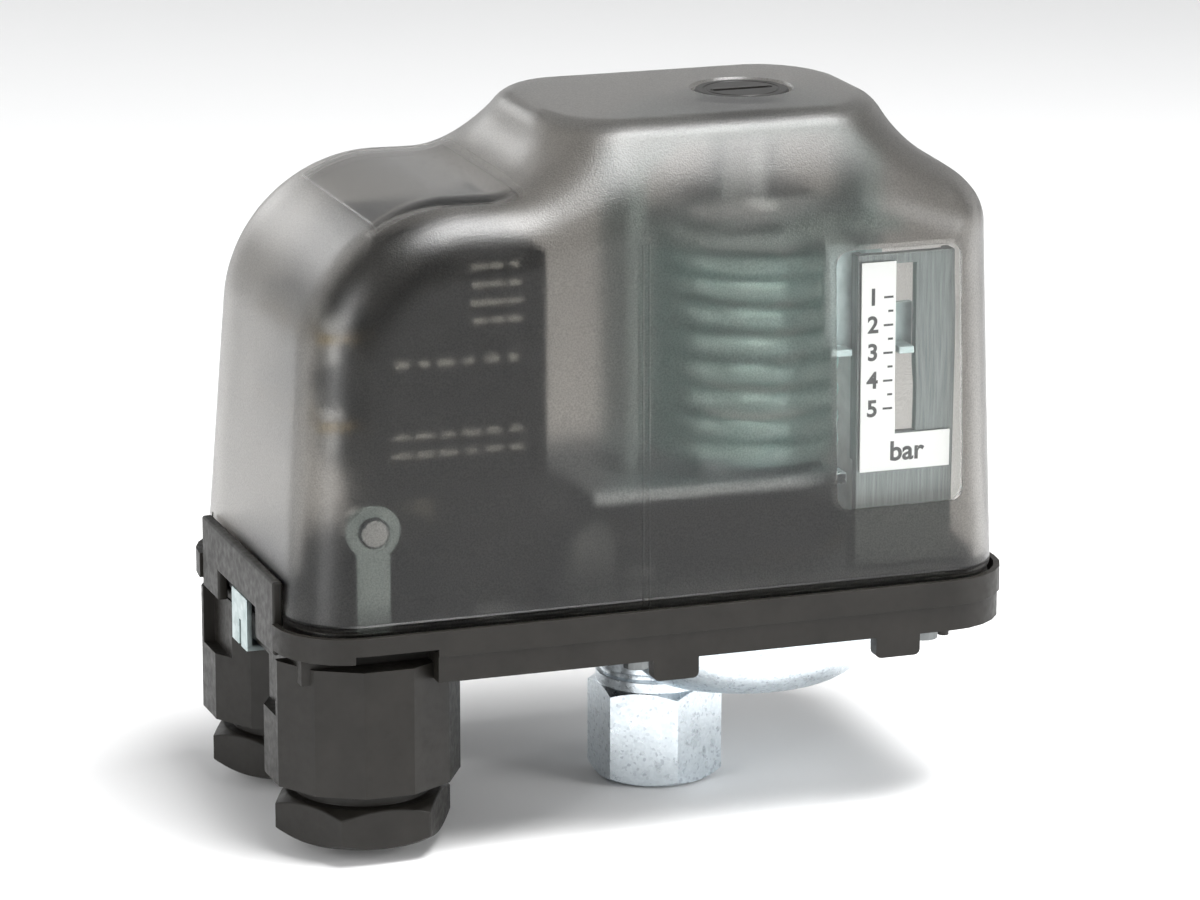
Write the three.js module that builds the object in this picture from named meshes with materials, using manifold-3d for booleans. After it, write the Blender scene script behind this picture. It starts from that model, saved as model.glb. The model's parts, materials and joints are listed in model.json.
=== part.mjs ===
// Pressure switch with a diaphragm, a range spring, a three pole contact block and a frosted cover.
// Millimetres, +Z up. The origin is on the axis of the pressure port, at the port's lower face.
// +X runs along the case towards the spring, and -Y is the front with the scale window.
import * as THREE from 'three';
import { mergeVertices } from 'three/addons/utils/BufferGeometryUtils.js';
import Module from 'manifold-3d';

const wasm = await Module();
wasm.setup();

// ---- driving dimensions -------------------------------------------------------------------
const GAP = 0.3;                    // clearance between neighbouring solids
const WELD = 0.5;                   // how deep one shape is sunk into another before they are joined
const OVER = 1;                     // how far a cutting shape reaches past the piece it cuts
const SPRING_X = 12.8;              // axis of the diaphragm, the spring and the cover screw
const SEGMENTS = 20;                // sides of an ordinary round piece
const FINE = 30;                    // sides of a large round piece
const HEAD_SIDES = 18;              // sides of a round screw head
const COARSE = 12;                  // sides of a shank or a small hole
const CORNER_STEPS = 3;             // steps in the corner of a plate

const COVER = {
  left: -60.7, right: 43.2, halfWidth: 28.4,            // outline at the level z = datum
  datum: 32.9, draftLeft: 0.071, draftRight: 0.022, draftWidth: 0.04,
  roof: 90.5, roofSlope: -0.0204, roofCentre: -30,      // low roof over the contact block
  cornerLeft: 20.8, cornerRight: 6.6, edge: 9.8,        // radii of its long and upright edges
  domeTop: 99.35, domeLeft: -21.1, domeRight: 31.2,     // dome over the spring
  domeSlopeLeft: 0.05, domeSlopeRight: 0.19, domeHalfWidth: 25.6, domeSlopeWidth: 0.857,
  domeCorner: 10.7, domeEdge: 2.05, blend: 10.1, blendFrom: 66, blendTo: 86, blendLeast: 0.01,
  wall: 2.0, rim: 31.8,                                 // wall thickness and lower edge
};
// The cover is measured along straight lines that leave its middle: the level of that middle, the
// level up to which the lines lie flat, how far they reach and how often the reach is halved.
const MEASURE = { middle: 70, flatTo: 58, reach: 90, halvings: 30 };
const OUTSIDE = { corner: 4, side: 6, roof: 18 };       // steps round the cover's outer surface
const INSIDE = { corner: 3, side: 4, roof: 12 };        // and round its inner surface
const WINDOW = { left: 16.9, right: 35.8, low: 44.3, high: 80.9, depth: 0.5 };
const COVER_SCREW = {
  head: 6.7, headLow: 96.9, headHigh: 99.2, edge: 0.4, shank: 2.8, end: 88,
  slotLength: 5, slotHalf: 0.8, slotDepth: 1,
  recess: 7.1, seat: 96.4, hole: 3.2, boss: 9.5, bossLow: 95.9,
  ringInner: 3.4, ringOuter: 5.6, ringGap: 0.1,
};
const BASE = {
  left: -62.2, right: 44.4, halfWidth: 29.9, corner: 10.6,
  bottom: 25.9, parting: 29.6, top: 33.2, floor: 28.4,
  wall: 5.0, grooveOut: 0.9, grooveIn: 3.8, grooveCorner: 8.2, grooveBottom: 30.0,
  bandInset: 0.3, bandLeft: -41.8,                      // the lower band of the right part
  endLeft: -59.9, endRight: -41, endHalf: 25,           // the block between the gland sockets
  notchLeft: -53.5, notchHigh: 30.7,                    // the step in the side over each socket
};
const TABS = { lefts: [-10.7, 22.3], length: 6.6, thick: 2.2, low: 22.9, round: 0.8 };
const PEG = { x: 32.8, y: -28.6, radius: 0.8, low: 25.2 };
const GLAND = {
  x: -48.7, y: 16.1, bottom: 1.94, hexTop: 7.8, across: 22, turn: 30,
  thread: 9.9, bore: 6.5, screwTop: 15.5, socket: 10.3, shoulder: 21, conduit: 8,
  washerOuter: 9.8, washerHigh: 17, sealInner: 5, sealOuter: 9.9,
};
const BARREL = { radius: 13.57, bottom: 10.2, top: 28.2, sides: 12, turn: 15 };
const RETAINER = {
  outer: -61.9, inner: -60.4, half: 18.3, low: 28.5, high: 38.9,
  notchFrom: -9, notchTo: 10, notchHigh: 32.8, pocketLow: 20,
};
const CLIP = {
  outer: -61.6, inner: -60.7, footEnd: -56.8, from: -3.5, to: 4,
  low: 24.8, footHigh: 25.6, high: 32.4, slitHalf: 0.6, slitHigh: 28.6,
};
const PORT = { across: 17, top: 14, bore: 5.75, boreDepth: 12, neck: 8.5, neckTop: 25.6, passage: 2 };
const DISH = {
  radius: 20, bottom: 14.4, wall: 2, corner: 7, cornerSteps: 6,
  flange: 49, flangeCorner: 5, flangeLow: 28.7, flangeHigh: 30.7,
};
const DIAPHRAGM = { radius: 24.4, low: 31.0, high: 32.2 };
const BEARING = {
  low: 32.5, high: 34.5, hole: 15, left: -21, half: 24.5, corner: 5, ear: 3.6, earNear: 16, earFar: 18,
};
const FLANGE_SCREW = {
  dx: 21.7, y: 17.5, head: 3.2, headHeight: 2, shank: 2, end: 21.4, recess: 1.7, recessLow: 0.9,
};
const PISTON = {
  foot: 14.5, footRise: 2, collar: 5, collarRise: 2.6, stem: 4, stemRise: 3.4,
  stemTop: 39.9, tip: 2.5, tipEdge: 40.6, top: 40.7,
};
const PIVOT = {
  x: -16, z: 40, pin: 2, play: 0.05, tight: 0.02, reach: 20,
  pinFront: -19.2, pinBack: 18.4, headFront: -19.4, headBack: -18.4, head: 3.2,
};
const ROCKER = {
  left: -42, right: 22, low: 35.2, webLow: 41, high: 43.5, cheekOut: 15.5, cheekIn: 13.5, endSteps: 8,
  heel: -22, toe: 2, toeHigh: 4, archLeft: -13.3, archRight: -4.5, arch: 37.5, archSlope: 0.6,
  pocketLeft: -9.5, pocketRight: -1, pocketHalf: 8,
};
const SEAT = {
  left: -14.5, right: 23, half: 15.5, low: 44.8, high: 46.3, boss: 4,
  guideInner: 8, guideOuter: 10.2, guideSink: 0.3, guideRise: 1.6,
};
const SPRING = { radius: 12.4, wire: 1.6, low: 46.6, high: 78.7, turns: 6.5, steps: 12, sides: 6 };
const PLATE = { low: 79, high: 80.5, radius: 14.5 };
const ARM = {
  guideLeft: 26, guideRight: 34, guideHalf: 9, forkLeft: 29, forkHalf: 6.4,
  left: 17.6, right: 22, front: -20.4, back: -8, legBack: -19.4, footRight: 30.6, footRise: 6,
  tabFront: -24.2, tabPlay: 0.4, markRight: 20.6, markFront: -23.2, halfThick: 0.5,
};
const NUT = { low: 80.8, high: 84.6, across: 19, bore: 5.3 };
const ROD = {
  radius: 5, low: 60, top: 95.6, bore: 3.1, boreEnd: 85, boreSides: 16, shoulder: 92.8, neck: 4.2,
};
const YOKE = {
  left: -6.2, right: 31.8, half: 6, low: 34.8, shoulder: 89.6, top: 95.6, thick: 2.5, topRight: 25.4,
  bendUp: 0.9, bendAcross: 1.1, room: 1, footLeft: -14.5, footRight: 39.3, footThick: 2,
  screws: [-10.5, 35.2], screwTip: 0.2,
};
const PAN_SCREW = { head: 2.8, shank: 1.5, height: 2, slotHalf: 0.4, slotLow: 1.2, above: 4 };
const SCALE = {
  left: 21.1, right: 35.6, front: -23.6, thick: 1.5, low: 34.8, high: 79.5,
  slotLeft: 26.8, slotRight: 29.85, slotLow: 53.9, slotHigh: 78,
  lip: 1.2, lipDepth: 1, lipLow: 50, footLeft: 24, footBack: -12,
  labelLeft: 21.5, labelRight: 34.9, labelLow: 48.6, labelHigh: 78.5, labelStep: 53.8, labelEdge: 26.6,
  labelThick: 0.25, pointer: 65.7,
};
const BLOCK = {
  left: -47, right: -22.4, half: 18, low: 48.8, high: 82, chamfer: 7,
  roomLeft: -45, roomRight: -25.5, roomHalf: 14, roomLow: 40, roomHigh: 59.6,
  legLeft: -38, legRight: -24, legNear: 16.2, footNear: 17, footFar: 24, footHigh: 31,
  screwX: -31, screwY: 20.9,
};
const CONTACT = {
  poles: [-9, 0, 9], x: -34.5, strip: 57.6, thick: 1, upper: 70, half: 2.5,
  left: -53, lineRight: -40, loadLeft: -29, riser: -25, loadRight: -24,
};
const TERMINAL_SCREW = { x: -50, head: 2.9, shank: 1.6, hole: 1.9, below: 3.5 };
const CARRIER = { half: 3, halfWidth: 13, top: 54.5, pin: 1.2, pinTop: 56.8 };
const BRIDGE = {
  left: -43.5, right: -25.8, half: 2, low: 54.8, high: 55.8, hole: 1.5,
  buttons: [-42, -27.2], button: 1.4, buttonTop: 57.3,
};
const CONTACT_SPRING = {
  places: [-4.5, 4.5], radius: 1.5, wire: 0.25, low: 54.8, high: 59.3, turns: 5, steps: 8, sides: 5,
};
const EARTH = { x: -49.3, z: 46.5, half: 3.8, foot: 2.3, hole: 2.2, outer: -24.5, inner: -23.5 };
const EARTH_SCREW = {
  head: 3.4, headBack: -21, shank: 1.9, front: -25.2, weldTo: -22.5,
  slotHalf: 0.4, slotLength: 5, slotFrom: -21.8,
};

// ---- materials ----------------------------------------------------------------------------
const material = (color, roughness, metalness) =>
  new THREE.MeshStandardMaterial({ color, roughness, metalness });
const blackPlastic = material(0x3a3936, 0.55, 0);
const smokyPlastic = material(0x8f8d88, 0.4, 0);
const rubber = material(0x1c1c1c, 0.9, 0);
const zinc = material(0xc3ced6, 0.35, 0.9);
const brass = material(0xb89a55, 0.35, 0.9);
const copper = material(0xb87349, 0.4, 0.9);
const white = material(0xf2f2ee, 0.6, 0);

// ---- solids: joining, cutting and the plain shapes ----------------------------------------
function toSolid(geometry) {
  geometry.deleteAttribute('normal');
  geometry.deleteAttribute('uv');
  const merged = mergeVertices(geometry, 1e-4);
  return new wasm.Manifold(new wasm.Mesh({
    numProp: 3,
    vertProperties: Float32Array.from(merged.attributes.position.array),
    triVerts: Uint32Array.from(merged.index.array),
  }));
}

function toGeometry(solid) {
  const mesh = solid.getMesh();
  const geometry = new THREE.BufferGeometry();
  geometry.setAttribute('position', new THREE.BufferAttribute(mesh.vertProperties, 3));
  geometry.setIndex(new THREE.BufferAttribute(mesh.triVerts, 1));
  return geometry;
}

const join = (first, ...rest) => rest.reduce((sum, solid) => sum.add(solid), first);
const cut = (first, ...rest) => rest.reduce((left, solid) => left.subtract(solid), first);

function box(x0, x1, y0, y1, z0, z1) {
  const geometry = new THREE.BoxGeometry(x1 - x0, y1 - y0, z1 - z0);
  geometry.translate((x0 + x1) / 2, (y0 + y1) / 2, (z0 + z1) / 2);
  return toSolid(geometry);
}

// An upright round bar; sides may be few, as on a hexagon, and turn is the angle in degrees from
// the Y axis to its first corner.
function bar(x, y, z0, z1, radius, sides = SEGMENTS, turn = 0) {
  const geometry = new THREE.CylinderGeometry(radius, radius, z1 - z0, sides);
  geometry.rotateX(Math.PI / 2);
  geometry.rotateZ(THREE.MathUtils.degToRad(turn));
  geometry.translate(x, y, (z0 + z1) / 2);
  return toSolid(geometry);
}

function barAlongY(x, y0, y1, z, radius, sides = SEGMENTS) {
  const geometry = new THREE.CylinderGeometry(radius, radius, y1 - y0, sides);
  geometry.translate(x, (y0 + y1) / 2, z);
  return toSolid(geometry);
}

// A turned piece: profile is a list of [radius, z] that starts and ends on the axis or closes.
function turned(x, y, profile, segments = SEGMENTS) {
  const points = profile.map(([radius, z]) => new THREE.Vector2(radius, z));
  const geometry = new THREE.LatheGeometry(points, segments);
  geometry.rotateX(Math.PI / 2);
  geometry.translate(x, y, 0);
  return toSolid(geometry);
}

// A hexagon bar with its corners chamfered by a cone at one or both ends.
function hexagon(x, y, z0, z1, across, turn, low, high, slope = 0.58) {
  const corner = across / Math.sqrt(3);
  const inner = across / 2 * 0.985;
  const drop = (corner - inner) * slope;
  const blank = turned(x, y, [
    [0, z0], [low ? inner : corner + 1, z0], [corner + 1, low ? z0 + drop + slope : z0],
    [corner + 1, high ? z1 - drop - slope : z1], [high ? inner : corner + 1, z1], [0, z1],
  ]);
  return bar(x, y, z0, z1, corner, 6, turn).intersect(blank);
}

function roundedRectangle(x0, x1, half, radius, curveSteps = 6) {
  const corners = [[x1 - radius, -half + radius, -90], [x1 - radius, half - radius, 0],
    [x0 + radius, half - radius, 90], [x0 + radius, -half + radius, 180]];
  const points = [];
  for (const [cx, cy, start] of corners) {
    for (let i = 0; i <= curveSteps; i += 1) {
      const angle = THREE.MathUtils.degToRad(start + 90 * i / curveSteps);
      points.push(new THREE.Vector2(cx + radius * Math.cos(angle), cy + radius * Math.sin(angle)));
    }
  }
  return points;
}

// An outline in plan, extruded upwards.
function upright(points, z0, z1) {
  const shape = new THREE.Shape(points);
  const geometry = new THREE.ExtrudeGeometry(shape, { depth: z1 - z0, bevelEnabled: false });
  geometry.translate(0, 0, z0);
  return toSolid(geometry);
}

// An outline in the XZ plane, extruded along Y.
function sideways(outline, y0, y1) {
  const shape = new THREE.Shape(outline.map(([x, z]) => new THREE.Vector2(x, z)));
  const geometry = new THREE.ExtrudeGeometry(shape, { depth: y1 - y0, bevelEnabled: false });
  geometry.rotateX(Math.PI / 2);
  geometry.translate(0, y1, 0);
  return toSolid(geometry);
}

// An outline in the YZ plane, extruded along X.
function lengthways(outline, x0, x1) {
  const shape = new THREE.Shape(outline.map(([y, z]) => new THREE.Vector2(y, z)));
  const geometry = new THREE.ExtrudeGeometry(shape, { depth: x1 - x0, bevelEnabled: false });
  geometry.rotateX(Math.PI / 2);
  geometry.rotateZ(Math.PI / 2);
  geometry.translate(x0, 0, 0);
  return toSolid(geometry);
}

class Helix extends THREE.Curve {
  constructor(x, y, radius, low, high, turns) {
    super();
    Object.assign(this, { x, y, radius, low, high, turns });
  }

  // The end turns lie flat and the pitch opens between them.
  getPoint(t) {
    const angle = 2 * Math.PI * this.turns * t;
    const closed = 0.75 / this.turns;
    const rise = THREE.MathUtils.clamp((t - closed) / (1 - 2 * closed), 0, 1);
    return new THREE.Vector3(
      this.x + this.radius * Math.cos(angle),
      this.y + this.radius * Math.sin(angle),
      this.low + (this.high - this.low) * rise,
    );
  }
}

function coil(x, y, { radius, wire, low, high, turns, steps, sides }) {
  const section = [];
  for (let i = 0; i < sides; i += 1) {
    const angle = 2 * Math.PI * i / sides;
    section.push(new THREE.Vector2(wire * Math.cos(angle), wire * Math.sin(angle)));
  }
  const path = new Helix(x, y, radius, low + wire, high - wire, turns);
  return toSolid(new THREE.ExtrudeGeometry(new THREE.Shape(section), {
    steps: Math.round(turns * steps), extrudePath: path, bevelEnabled: false,
  }));
}

// ---- the cover's outer form ---------------------------------------------------------------
// Every surface is a distance, negative inside; edges are rounded where two distances meet.
function roundedMax(a, b, radius) {
  const u = Math.max(a + radius, 0);
  const v = Math.max(b + radius, 0);
  return Math.min(Math.max(a, b), -radius) + Math.hypot(u, v);
}

function roundedMin(a, b, radius) {
  const u = Math.max(radius - a, 0);
  const v = Math.max(radius - b, 0);
  return Math.max(Math.min(a, b), radius) - Math.hypot(u, v);
}

function coverDistance(x, y, z) {
  const c = COVER;
  const height = z - c.datum;
  const left = c.left + c.draftLeft * height - x;
  const right = x - (c.right - c.draftRight * height);
  const side = Math.abs(y) - (c.halfWidth - c.draftWidth * height);
  const top = z - (c.roof + c.roofSlope * (x - c.roofCentre));
  const low = Math.max(roundedMax(left, top, c.cornerLeft), roundedMax(right, top, c.cornerRight));

  const above = z - c.roof;
  const domeLeft = (c.domeLeft + above * c.domeSlopeLeft - x) / Math.hypot(1, c.domeSlopeLeft);
  const domeRight = (x - c.domeRight + above * c.domeSlopeRight) / Math.hypot(1, c.domeSlopeRight);
  const domeSide = (Math.abs(y) - c.domeHalfWidth + above * c.domeSlopeWidth)
    / Math.hypot(1, c.domeSlopeWidth);
  const domeWall = roundedMax(Math.max(domeLeft, domeRight), domeSide, c.domeCorner);
  const dome = roundedMax(domeWall, z - c.domeTop, c.domeEdge);

  const blend = c.blend * THREE.MathUtils.smoothstep(z, c.blendFrom, c.blendTo) + c.blendLeast;
  return roundedMax(roundedMin(low, dome, blend), side, c.edge);
}

// The closed form that lies a given depth inside the outer surface, down to the level bottom.
function coverForm(depth, bottom, steps) {
  const centre = new THREE.Vector3((COVER.left + COVER.right) / 2, 0, MEASURE.middle);
  const reach = roundedRectangle(COVER.left, COVER.right, COVER.halfWidth, COVER.edge, steps.corner);
  const outline = [];
  reach.forEach((point, i) => {
    const next = reach[(i + 1) % reach.length];
    const count = (i + 1) % (steps.corner + 1) === 0 ? steps.side : 1;
    for (let k = 0; k < count; k += 1) outline.push(point.clone().lerp(next, k / count));
  });

  const surfacePoint = (from, direction) => {
    let near = 0;
    let far = MEASURE.reach;
    for (let i = 0; i < MEASURE.halvings; i += 1) {
      const middle = (near + far) / 2;
      const p = from.clone().addScaledVector(direction, middle);
      if (coverDistance(p.x, p.y, p.z) < -depth) near = middle; else far = middle;
    }
    return from.clone().addScaledVector(direction, near);
  };

  const rings = [];
  for (const z of [bottom, MEASURE.flatTo]) {
    rings.push(outline.map((point) => {
      const from = new THREE.Vector3(centre.x, 0, z);
      return surfacePoint(from, new THREE.Vector3(point.x - centre.x, point.y, 0).normalize());
    }));
  }
  const roofHeight = COVER.domeTop - centre.z;
  for (let j = 0; j < steps.roof; j += 1) {
    const t = j / steps.roof;
    const spread = Math.min(1, 2 - 2 * t);
    const rise = roofHeight * Math.min(1, 2 * t);
    rings.push(outline.map((point) => surfacePoint(centre,
      new THREE.Vector3((point.x - centre.x) * spread, point.y * spread, rise).normalize())));
  }

  const peak = surfacePoint(centre, new THREE.Vector3(0, 0, 1));
  const foot = new THREE.Vector3(centre.x, 0, bottom);
  const positions = [...rings.flat(), foot, peak].flatMap((p) => [p.x, p.y, p.z]);
  const count = outline.length;
  const index = [];
  for (let j = 0; j < rings.length; j += 1) {
    for (let i = 0; i < count; i += 1) {
      const a = j * count + i;
      const b = j * count + (i + 1) % count;
      if (j === 0) index.push(rings.length * count, b, a);
      if (j + 1 < rings.length) index.push(a, b, b + count, a, b + count, a + count);
      else index.push(a, b, rings.length * count + 1);
    }
  }
  const geometry = new THREE.BufferGeometry();
  geometry.setAttribute('position', new THREE.Float32BufferAttribute(positions, 3));
  geometry.setIndex(index);
  return toSolid(geometry);
}

// The low and the high end of a span that lies on one side of the middle plane.
const spanOn = (side, near, far) => (side < 0 ? [-far, -near] : [near, far]);

const platePocket = () => box(RETAINER.outer - OVER, RETAINER.inner + GAP,
  -RETAINER.half - GAP, RETAINER.half + GAP, RETAINER.pocketLow, RETAINER.high + GAP);

function makeCover() {
  const c = COVER_SCREW;
  const above = COVER.domeTop + OVER;
  const outside = coverForm(0, COVER.rim, OUTSIDE);
  const boss = bar(SPRING_X, 0, c.bossLow, COVER.domeTop, c.boss);
  const inside = cut(coverForm(COVER.wall, COVER.rim - OVER, INSIDE), boss);
  const screwSeat = bar(SPRING_X, 0, c.seat, above, c.recess);
  const screwHole = bar(SPRING_X, 0, c.end, above, c.hole);
  const w = WINDOW;
  const front = -COVER.halfWidth - OVER;
  const paneY = (z) => w.depth - (COVER.halfWidth - COVER.draftWidth * (z - COVER.datum));
  const pane = lengthways([[front, w.low], [paneY(w.low), w.low], [paneY(w.high), w.high], [front, w.high]],
    w.left, w.right);
  return cut(outside, inside, screwSeat, screwHole, pane, platePocket());
}

// ---- case parts ---------------------------------------------------------------------------
const baseOutline = (inset, corner = BASE.corner - inset) => roundedRectangle(
  BASE.left + inset, BASE.right - inset, BASE.halfWidth - inset, corner);

// A tab under the long side of the base, with its two lower corners rounded.
function makeTab(x, side) {
  const t = TABS;
  const outline = [[x + t.length, BASE.bottom], [x, BASE.bottom]];
  for (const [cx, from] of [[x + t.round, 180], [x + t.length - t.round, 270]]) {
    for (let i = 0; i <= CORNER_STEPS; i += 1) {
      const angle = THREE.MathUtils.degToRad(from + 90 * i / CORNER_STEPS);
      outline.push([cx + t.round * Math.cos(angle), t.low + t.round + t.round * Math.sin(angle)]);
    }
  }
  const outer = BASE.halfWidth - BASE.bandInset;
  return sideways(outline, ...spanOn(side, outer - t.thick, outer));
}

function makeBase() {
  const b = BASE;
  const rim = upright(baseOutline(0), b.parting, b.top);
  const band = upright(baseOutline(b.bandInset), b.bottom, b.parting)
    .intersect(box(b.bandLeft, b.right, -b.halfWidth, b.halfWidth, b.bottom - OVER, b.parting + OVER));
  const core = box(b.endLeft, b.endRight, -b.endHalf, b.endHalf, b.bottom, b.parting);
  const pieces = [rim, band, core, bar(PEG.x, PEG.y, PEG.low, b.bottom, PEG.radius, COARSE)];
  const cuts = [
    upright(baseOutline(b.wall), b.floor, b.top + OVER),
    cut(upright(baseOutline(b.grooveOut), b.grooveBottom, b.top + OVER),
      upright(baseOutline(b.grooveIn, b.grooveCorner), b.grooveBottom - OVER, b.top + 2 * OVER)),
    bar(SPRING_X, 0, b.bottom - OVER, b.floor + OVER, DISH.radius + 2 * GAP, FINE),
    platePocket(),
    ...flangeHoles(),
  ];
  for (const side of [-1, 1]) {
    const y = side * GLAND.y;
    const below = BARREL.bottom - OVER;
    pieces.push(bar(GLAND.x, y, BARREL.bottom, BARREL.top, BARREL.radius, BARREL.sides, BARREL.turn));
    for (const x of TABS.lefts) pieces.push(makeTab(x, side));
    cuts.push(bar(GLAND.x, y, below, GLAND.shoulder, GLAND.socket));
    cuts.push(bar(GLAND.x, y, below, b.floor + OVER, GLAND.conduit));
    cuts.push(box(b.notchLeft, b.bandLeft, ...spanOn(side, b.endHalf, b.halfWidth + OVER),
      BARREL.top, b.notchHigh));
  }
  return cut(join(...pieces), ...cuts);
}

function makeCoverSeal() {
  const b = BASE;
  const outer = upright(baseOutline(b.grooveOut + GAP), b.grooveBottom + GAP, COVER.rim - GAP);
  const inner = upright(baseOutline(b.grooveIn - GAP, b.grooveCorner + GAP), b.grooveBottom, COVER.rim);
  return cut(outer, inner, platePocket());
}

function makeCoverScrew() {
  const c = COVER_SCREW;
  const slot = box(SPRING_X - c.slotLength, SPRING_X + c.slotLength, -c.slotHalf, c.slotHalf,
    c.headHigh - c.slotDepth, c.headHigh + OVER);
  return cut(join(
    turned(SPRING_X, 0, [[0, c.headLow], [c.head, c.headLow], [c.head, c.headHigh - c.edge],
      [c.head - c.edge, c.headHigh], [0, c.headHigh]]),
    bar(SPRING_X, 0, c.end, c.headLow + WELD, c.shank),
  ), slot);
}

const ring = (x, y, inner, outer, low, high) => turned(x, y,
  [[inner, low], [outer, low], [outer, high], [inner, high], [inner, low]]);

function makeCoverScrewRing() {
  const c = COVER_SCREW;
  return ring(SPRING_X, 0, c.ringInner, c.ringOuter, c.seat + c.ringGap, c.headLow - c.ringGap);
}

function makeRetainingPlate() {
  const r = RETAINER;
  const plate = box(r.outer, r.inner, -r.half, r.half, r.low, r.high);
  return cut(plate, box(r.outer - OVER, r.inner + OVER, r.notchFrom, r.notchTo, r.low - OVER, r.notchHigh));
}

function makePlateClip() {
  const c = CLIP;
  const strip = join(box(c.outer, c.inner, c.from, c.to, c.low, c.high),
    box(c.outer, c.footEnd, c.from, c.to, c.low, c.footHigh));
  return cut(strip, box(c.outer - WELD, c.inner + WELD, -c.slitHalf, c.slitHalf, c.low - OVER, c.slitHigh));
}

// ---- cable glands -------------------------------------------------------------------------
function makeGlandScrew(side) {
  const g = GLAND;
  const y = side * g.y;
  return cut(join(
    hexagon(g.x, y, g.bottom, g.hexTop, g.across, g.turn, true, true),
    bar(g.x, y, g.hexTop - WELD, g.screwTop, g.thread),
  ), bar(g.x, y, g.bottom - OVER, g.screwTop + OVER, g.bore));
}

const makeGlandWasher = (side) => ring(GLAND.x, side * GLAND.y, GLAND.bore, GLAND.washerOuter,
  GLAND.screwTop + GAP, GLAND.washerHigh);

const makeGlandSeal = (side) => ring(GLAND.x, side * GLAND.y, GLAND.sealInner, GLAND.sealOuter,
  GLAND.washerHigh + GAP, GLAND.shoulder - GAP);

// ---- pressure side ------------------------------------------------------------------------
function makePort() {
  const p = PORT;
  const body = join(
    hexagon(0, 0, 0, p.top, p.across, 0, true, true),
    bar(0, 0, p.top - WELD, p.neckTop, p.neck),
  );
  const room = bar(SPRING_X, 0, DISH.bottom - GAP, DISH.flangeHigh, DISH.radius + GAP, FINE);
  return cut(body, bar(0, 0, -OVER, p.boreDepth, p.bore),
    bar(0, 0, p.boreDepth - OVER, p.neckTop, p.passage, COARSE), room);
}

// The profile of the bowl, or of its inside when it is moved in by the wall's thickness.
function bowlProfile(inset, top) {
  const r = DISH.radius - inset;
  const z = DISH.bottom + inset;
  const c = DISH.corner - inset;
  const points = [[0, z]];
  for (let i = 0; i <= DISH.cornerSteps; i += 1) {
    const angle = Math.PI / 2 * i / DISH.cornerSteps;
    points.push([r - c + c * Math.sin(angle), z + c - c * Math.cos(angle)]);
  }
  points.push([r, top], [0, top]);
  return points;
}

function makeDiaphragmHousing() {
  const d = DISH;
  const half = d.flange / 2;
  const flange = upright(roundedRectangle(SPRING_X - half, SPRING_X + half, half, d.flangeCorner,
    CORNER_STEPS), d.flangeLow, d.flangeHigh);
  const bowl = turned(SPRING_X, 0, bowlProfile(0, d.flangeHigh), FINE);
  const inside = turned(SPRING_X, 0, bowlProfile(d.wall, d.flangeHigh + OVER), FINE);
  const passage = bar(0, 0, d.bottom - OVER, d.bottom + d.wall + OVER, PORT.passage, COARSE);
  return cut(join(flange, bowl), inside, passage, ...flangeHoles());
}

// The four screws that hold the flange, and the holes they pass through in every plate.
const flangePlaces = [[-1, -1], [1, -1], [1, 1], [-1, 1]].map(([dx, dy]) => (
  { x: SPRING_X + dx * FLANGE_SCREW.dx, y: dy * FLANGE_SCREW.y }));

function flangeHoles() {
  const low = BASE.bottom - OVER;
  const high = BEARING.high + SCALE.thick + 2 * OVER;
  return flangePlaces.map(({ x, y }) => bar(x, y, low, high, FLANGE_SCREW.shank + GAP, COARSE));
}

function makeDiaphragm() {
  const d = DIAPHRAGM;
  return turned(SPRING_X, 0, [[0, d.low], [d.radius, d.low], [d.radius, d.high], [0, d.high]], FINE);
}

// The holes for the two screws in the feet of the yoke.
const yokeScrewHoles = () => YOKE.screws.map((x) => bar(x, 0, BEARING.low - OVER,
  YOKE.low + YOKE.footThick + OVER, PAN_SCREW.shank + GAP, COARSE));

function makeBearingPlate() {
  const b = BEARING;
  const outline = roundedRectangle(b.left, SPRING_X + b.half, b.half, b.corner, CORNER_STEPS);
  const ears = [-1, 1].map((side) => {
    const span = spanOn(side, b.earNear, b.earFar);
    const ear = join(box(PIVOT.x - b.ear, PIVOT.x + b.ear, ...span, b.high - WELD, PIVOT.z),
      barAlongY(PIVOT.x, ...span, PIVOT.z, b.ear));
    return cut(ear, barAlongY(PIVOT.x, -PIVOT.reach, PIVOT.reach, PIVOT.z, PIVOT.pin + GAP));
  });
  return cut(join(upright(outline, b.low, b.high), ...ears),
    bar(SPRING_X, 0, b.low - OVER, b.high + OVER, b.hole, FINE), ...flangeHoles(), ...yokeScrewHoles());
}

function makeFlangeScrew({ x, y }) {
  const f = FLANGE_SCREW;
  const underFrame = x > SPRING_X && y < 0;
  const seat = BEARING.high + GAP + (underFrame ? SCALE.thick + GAP : 0);
  return cut(join(
    bar(x, y, seat, seat + f.headHeight, f.head, HEAD_SIDES),
    bar(x, y, f.end, seat + WELD, f.shank, COARSE),
  ), bar(x, y, seat + f.recessLow, seat + f.headHeight + OVER, f.recess, 6));
}

function makePiston() {
  const p = PISTON;
  const low = DIAPHRAGM.high + GAP;
  return turned(SPRING_X, 0, [[0, low], [p.foot, low], [p.foot, low + p.footRise],
    [p.collar, low + p.collarRise], [p.stem, low + p.stemRise], [p.stem, p.stemTop],
    [p.tip, p.tipEdge], [0, p.top]]);
}

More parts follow.
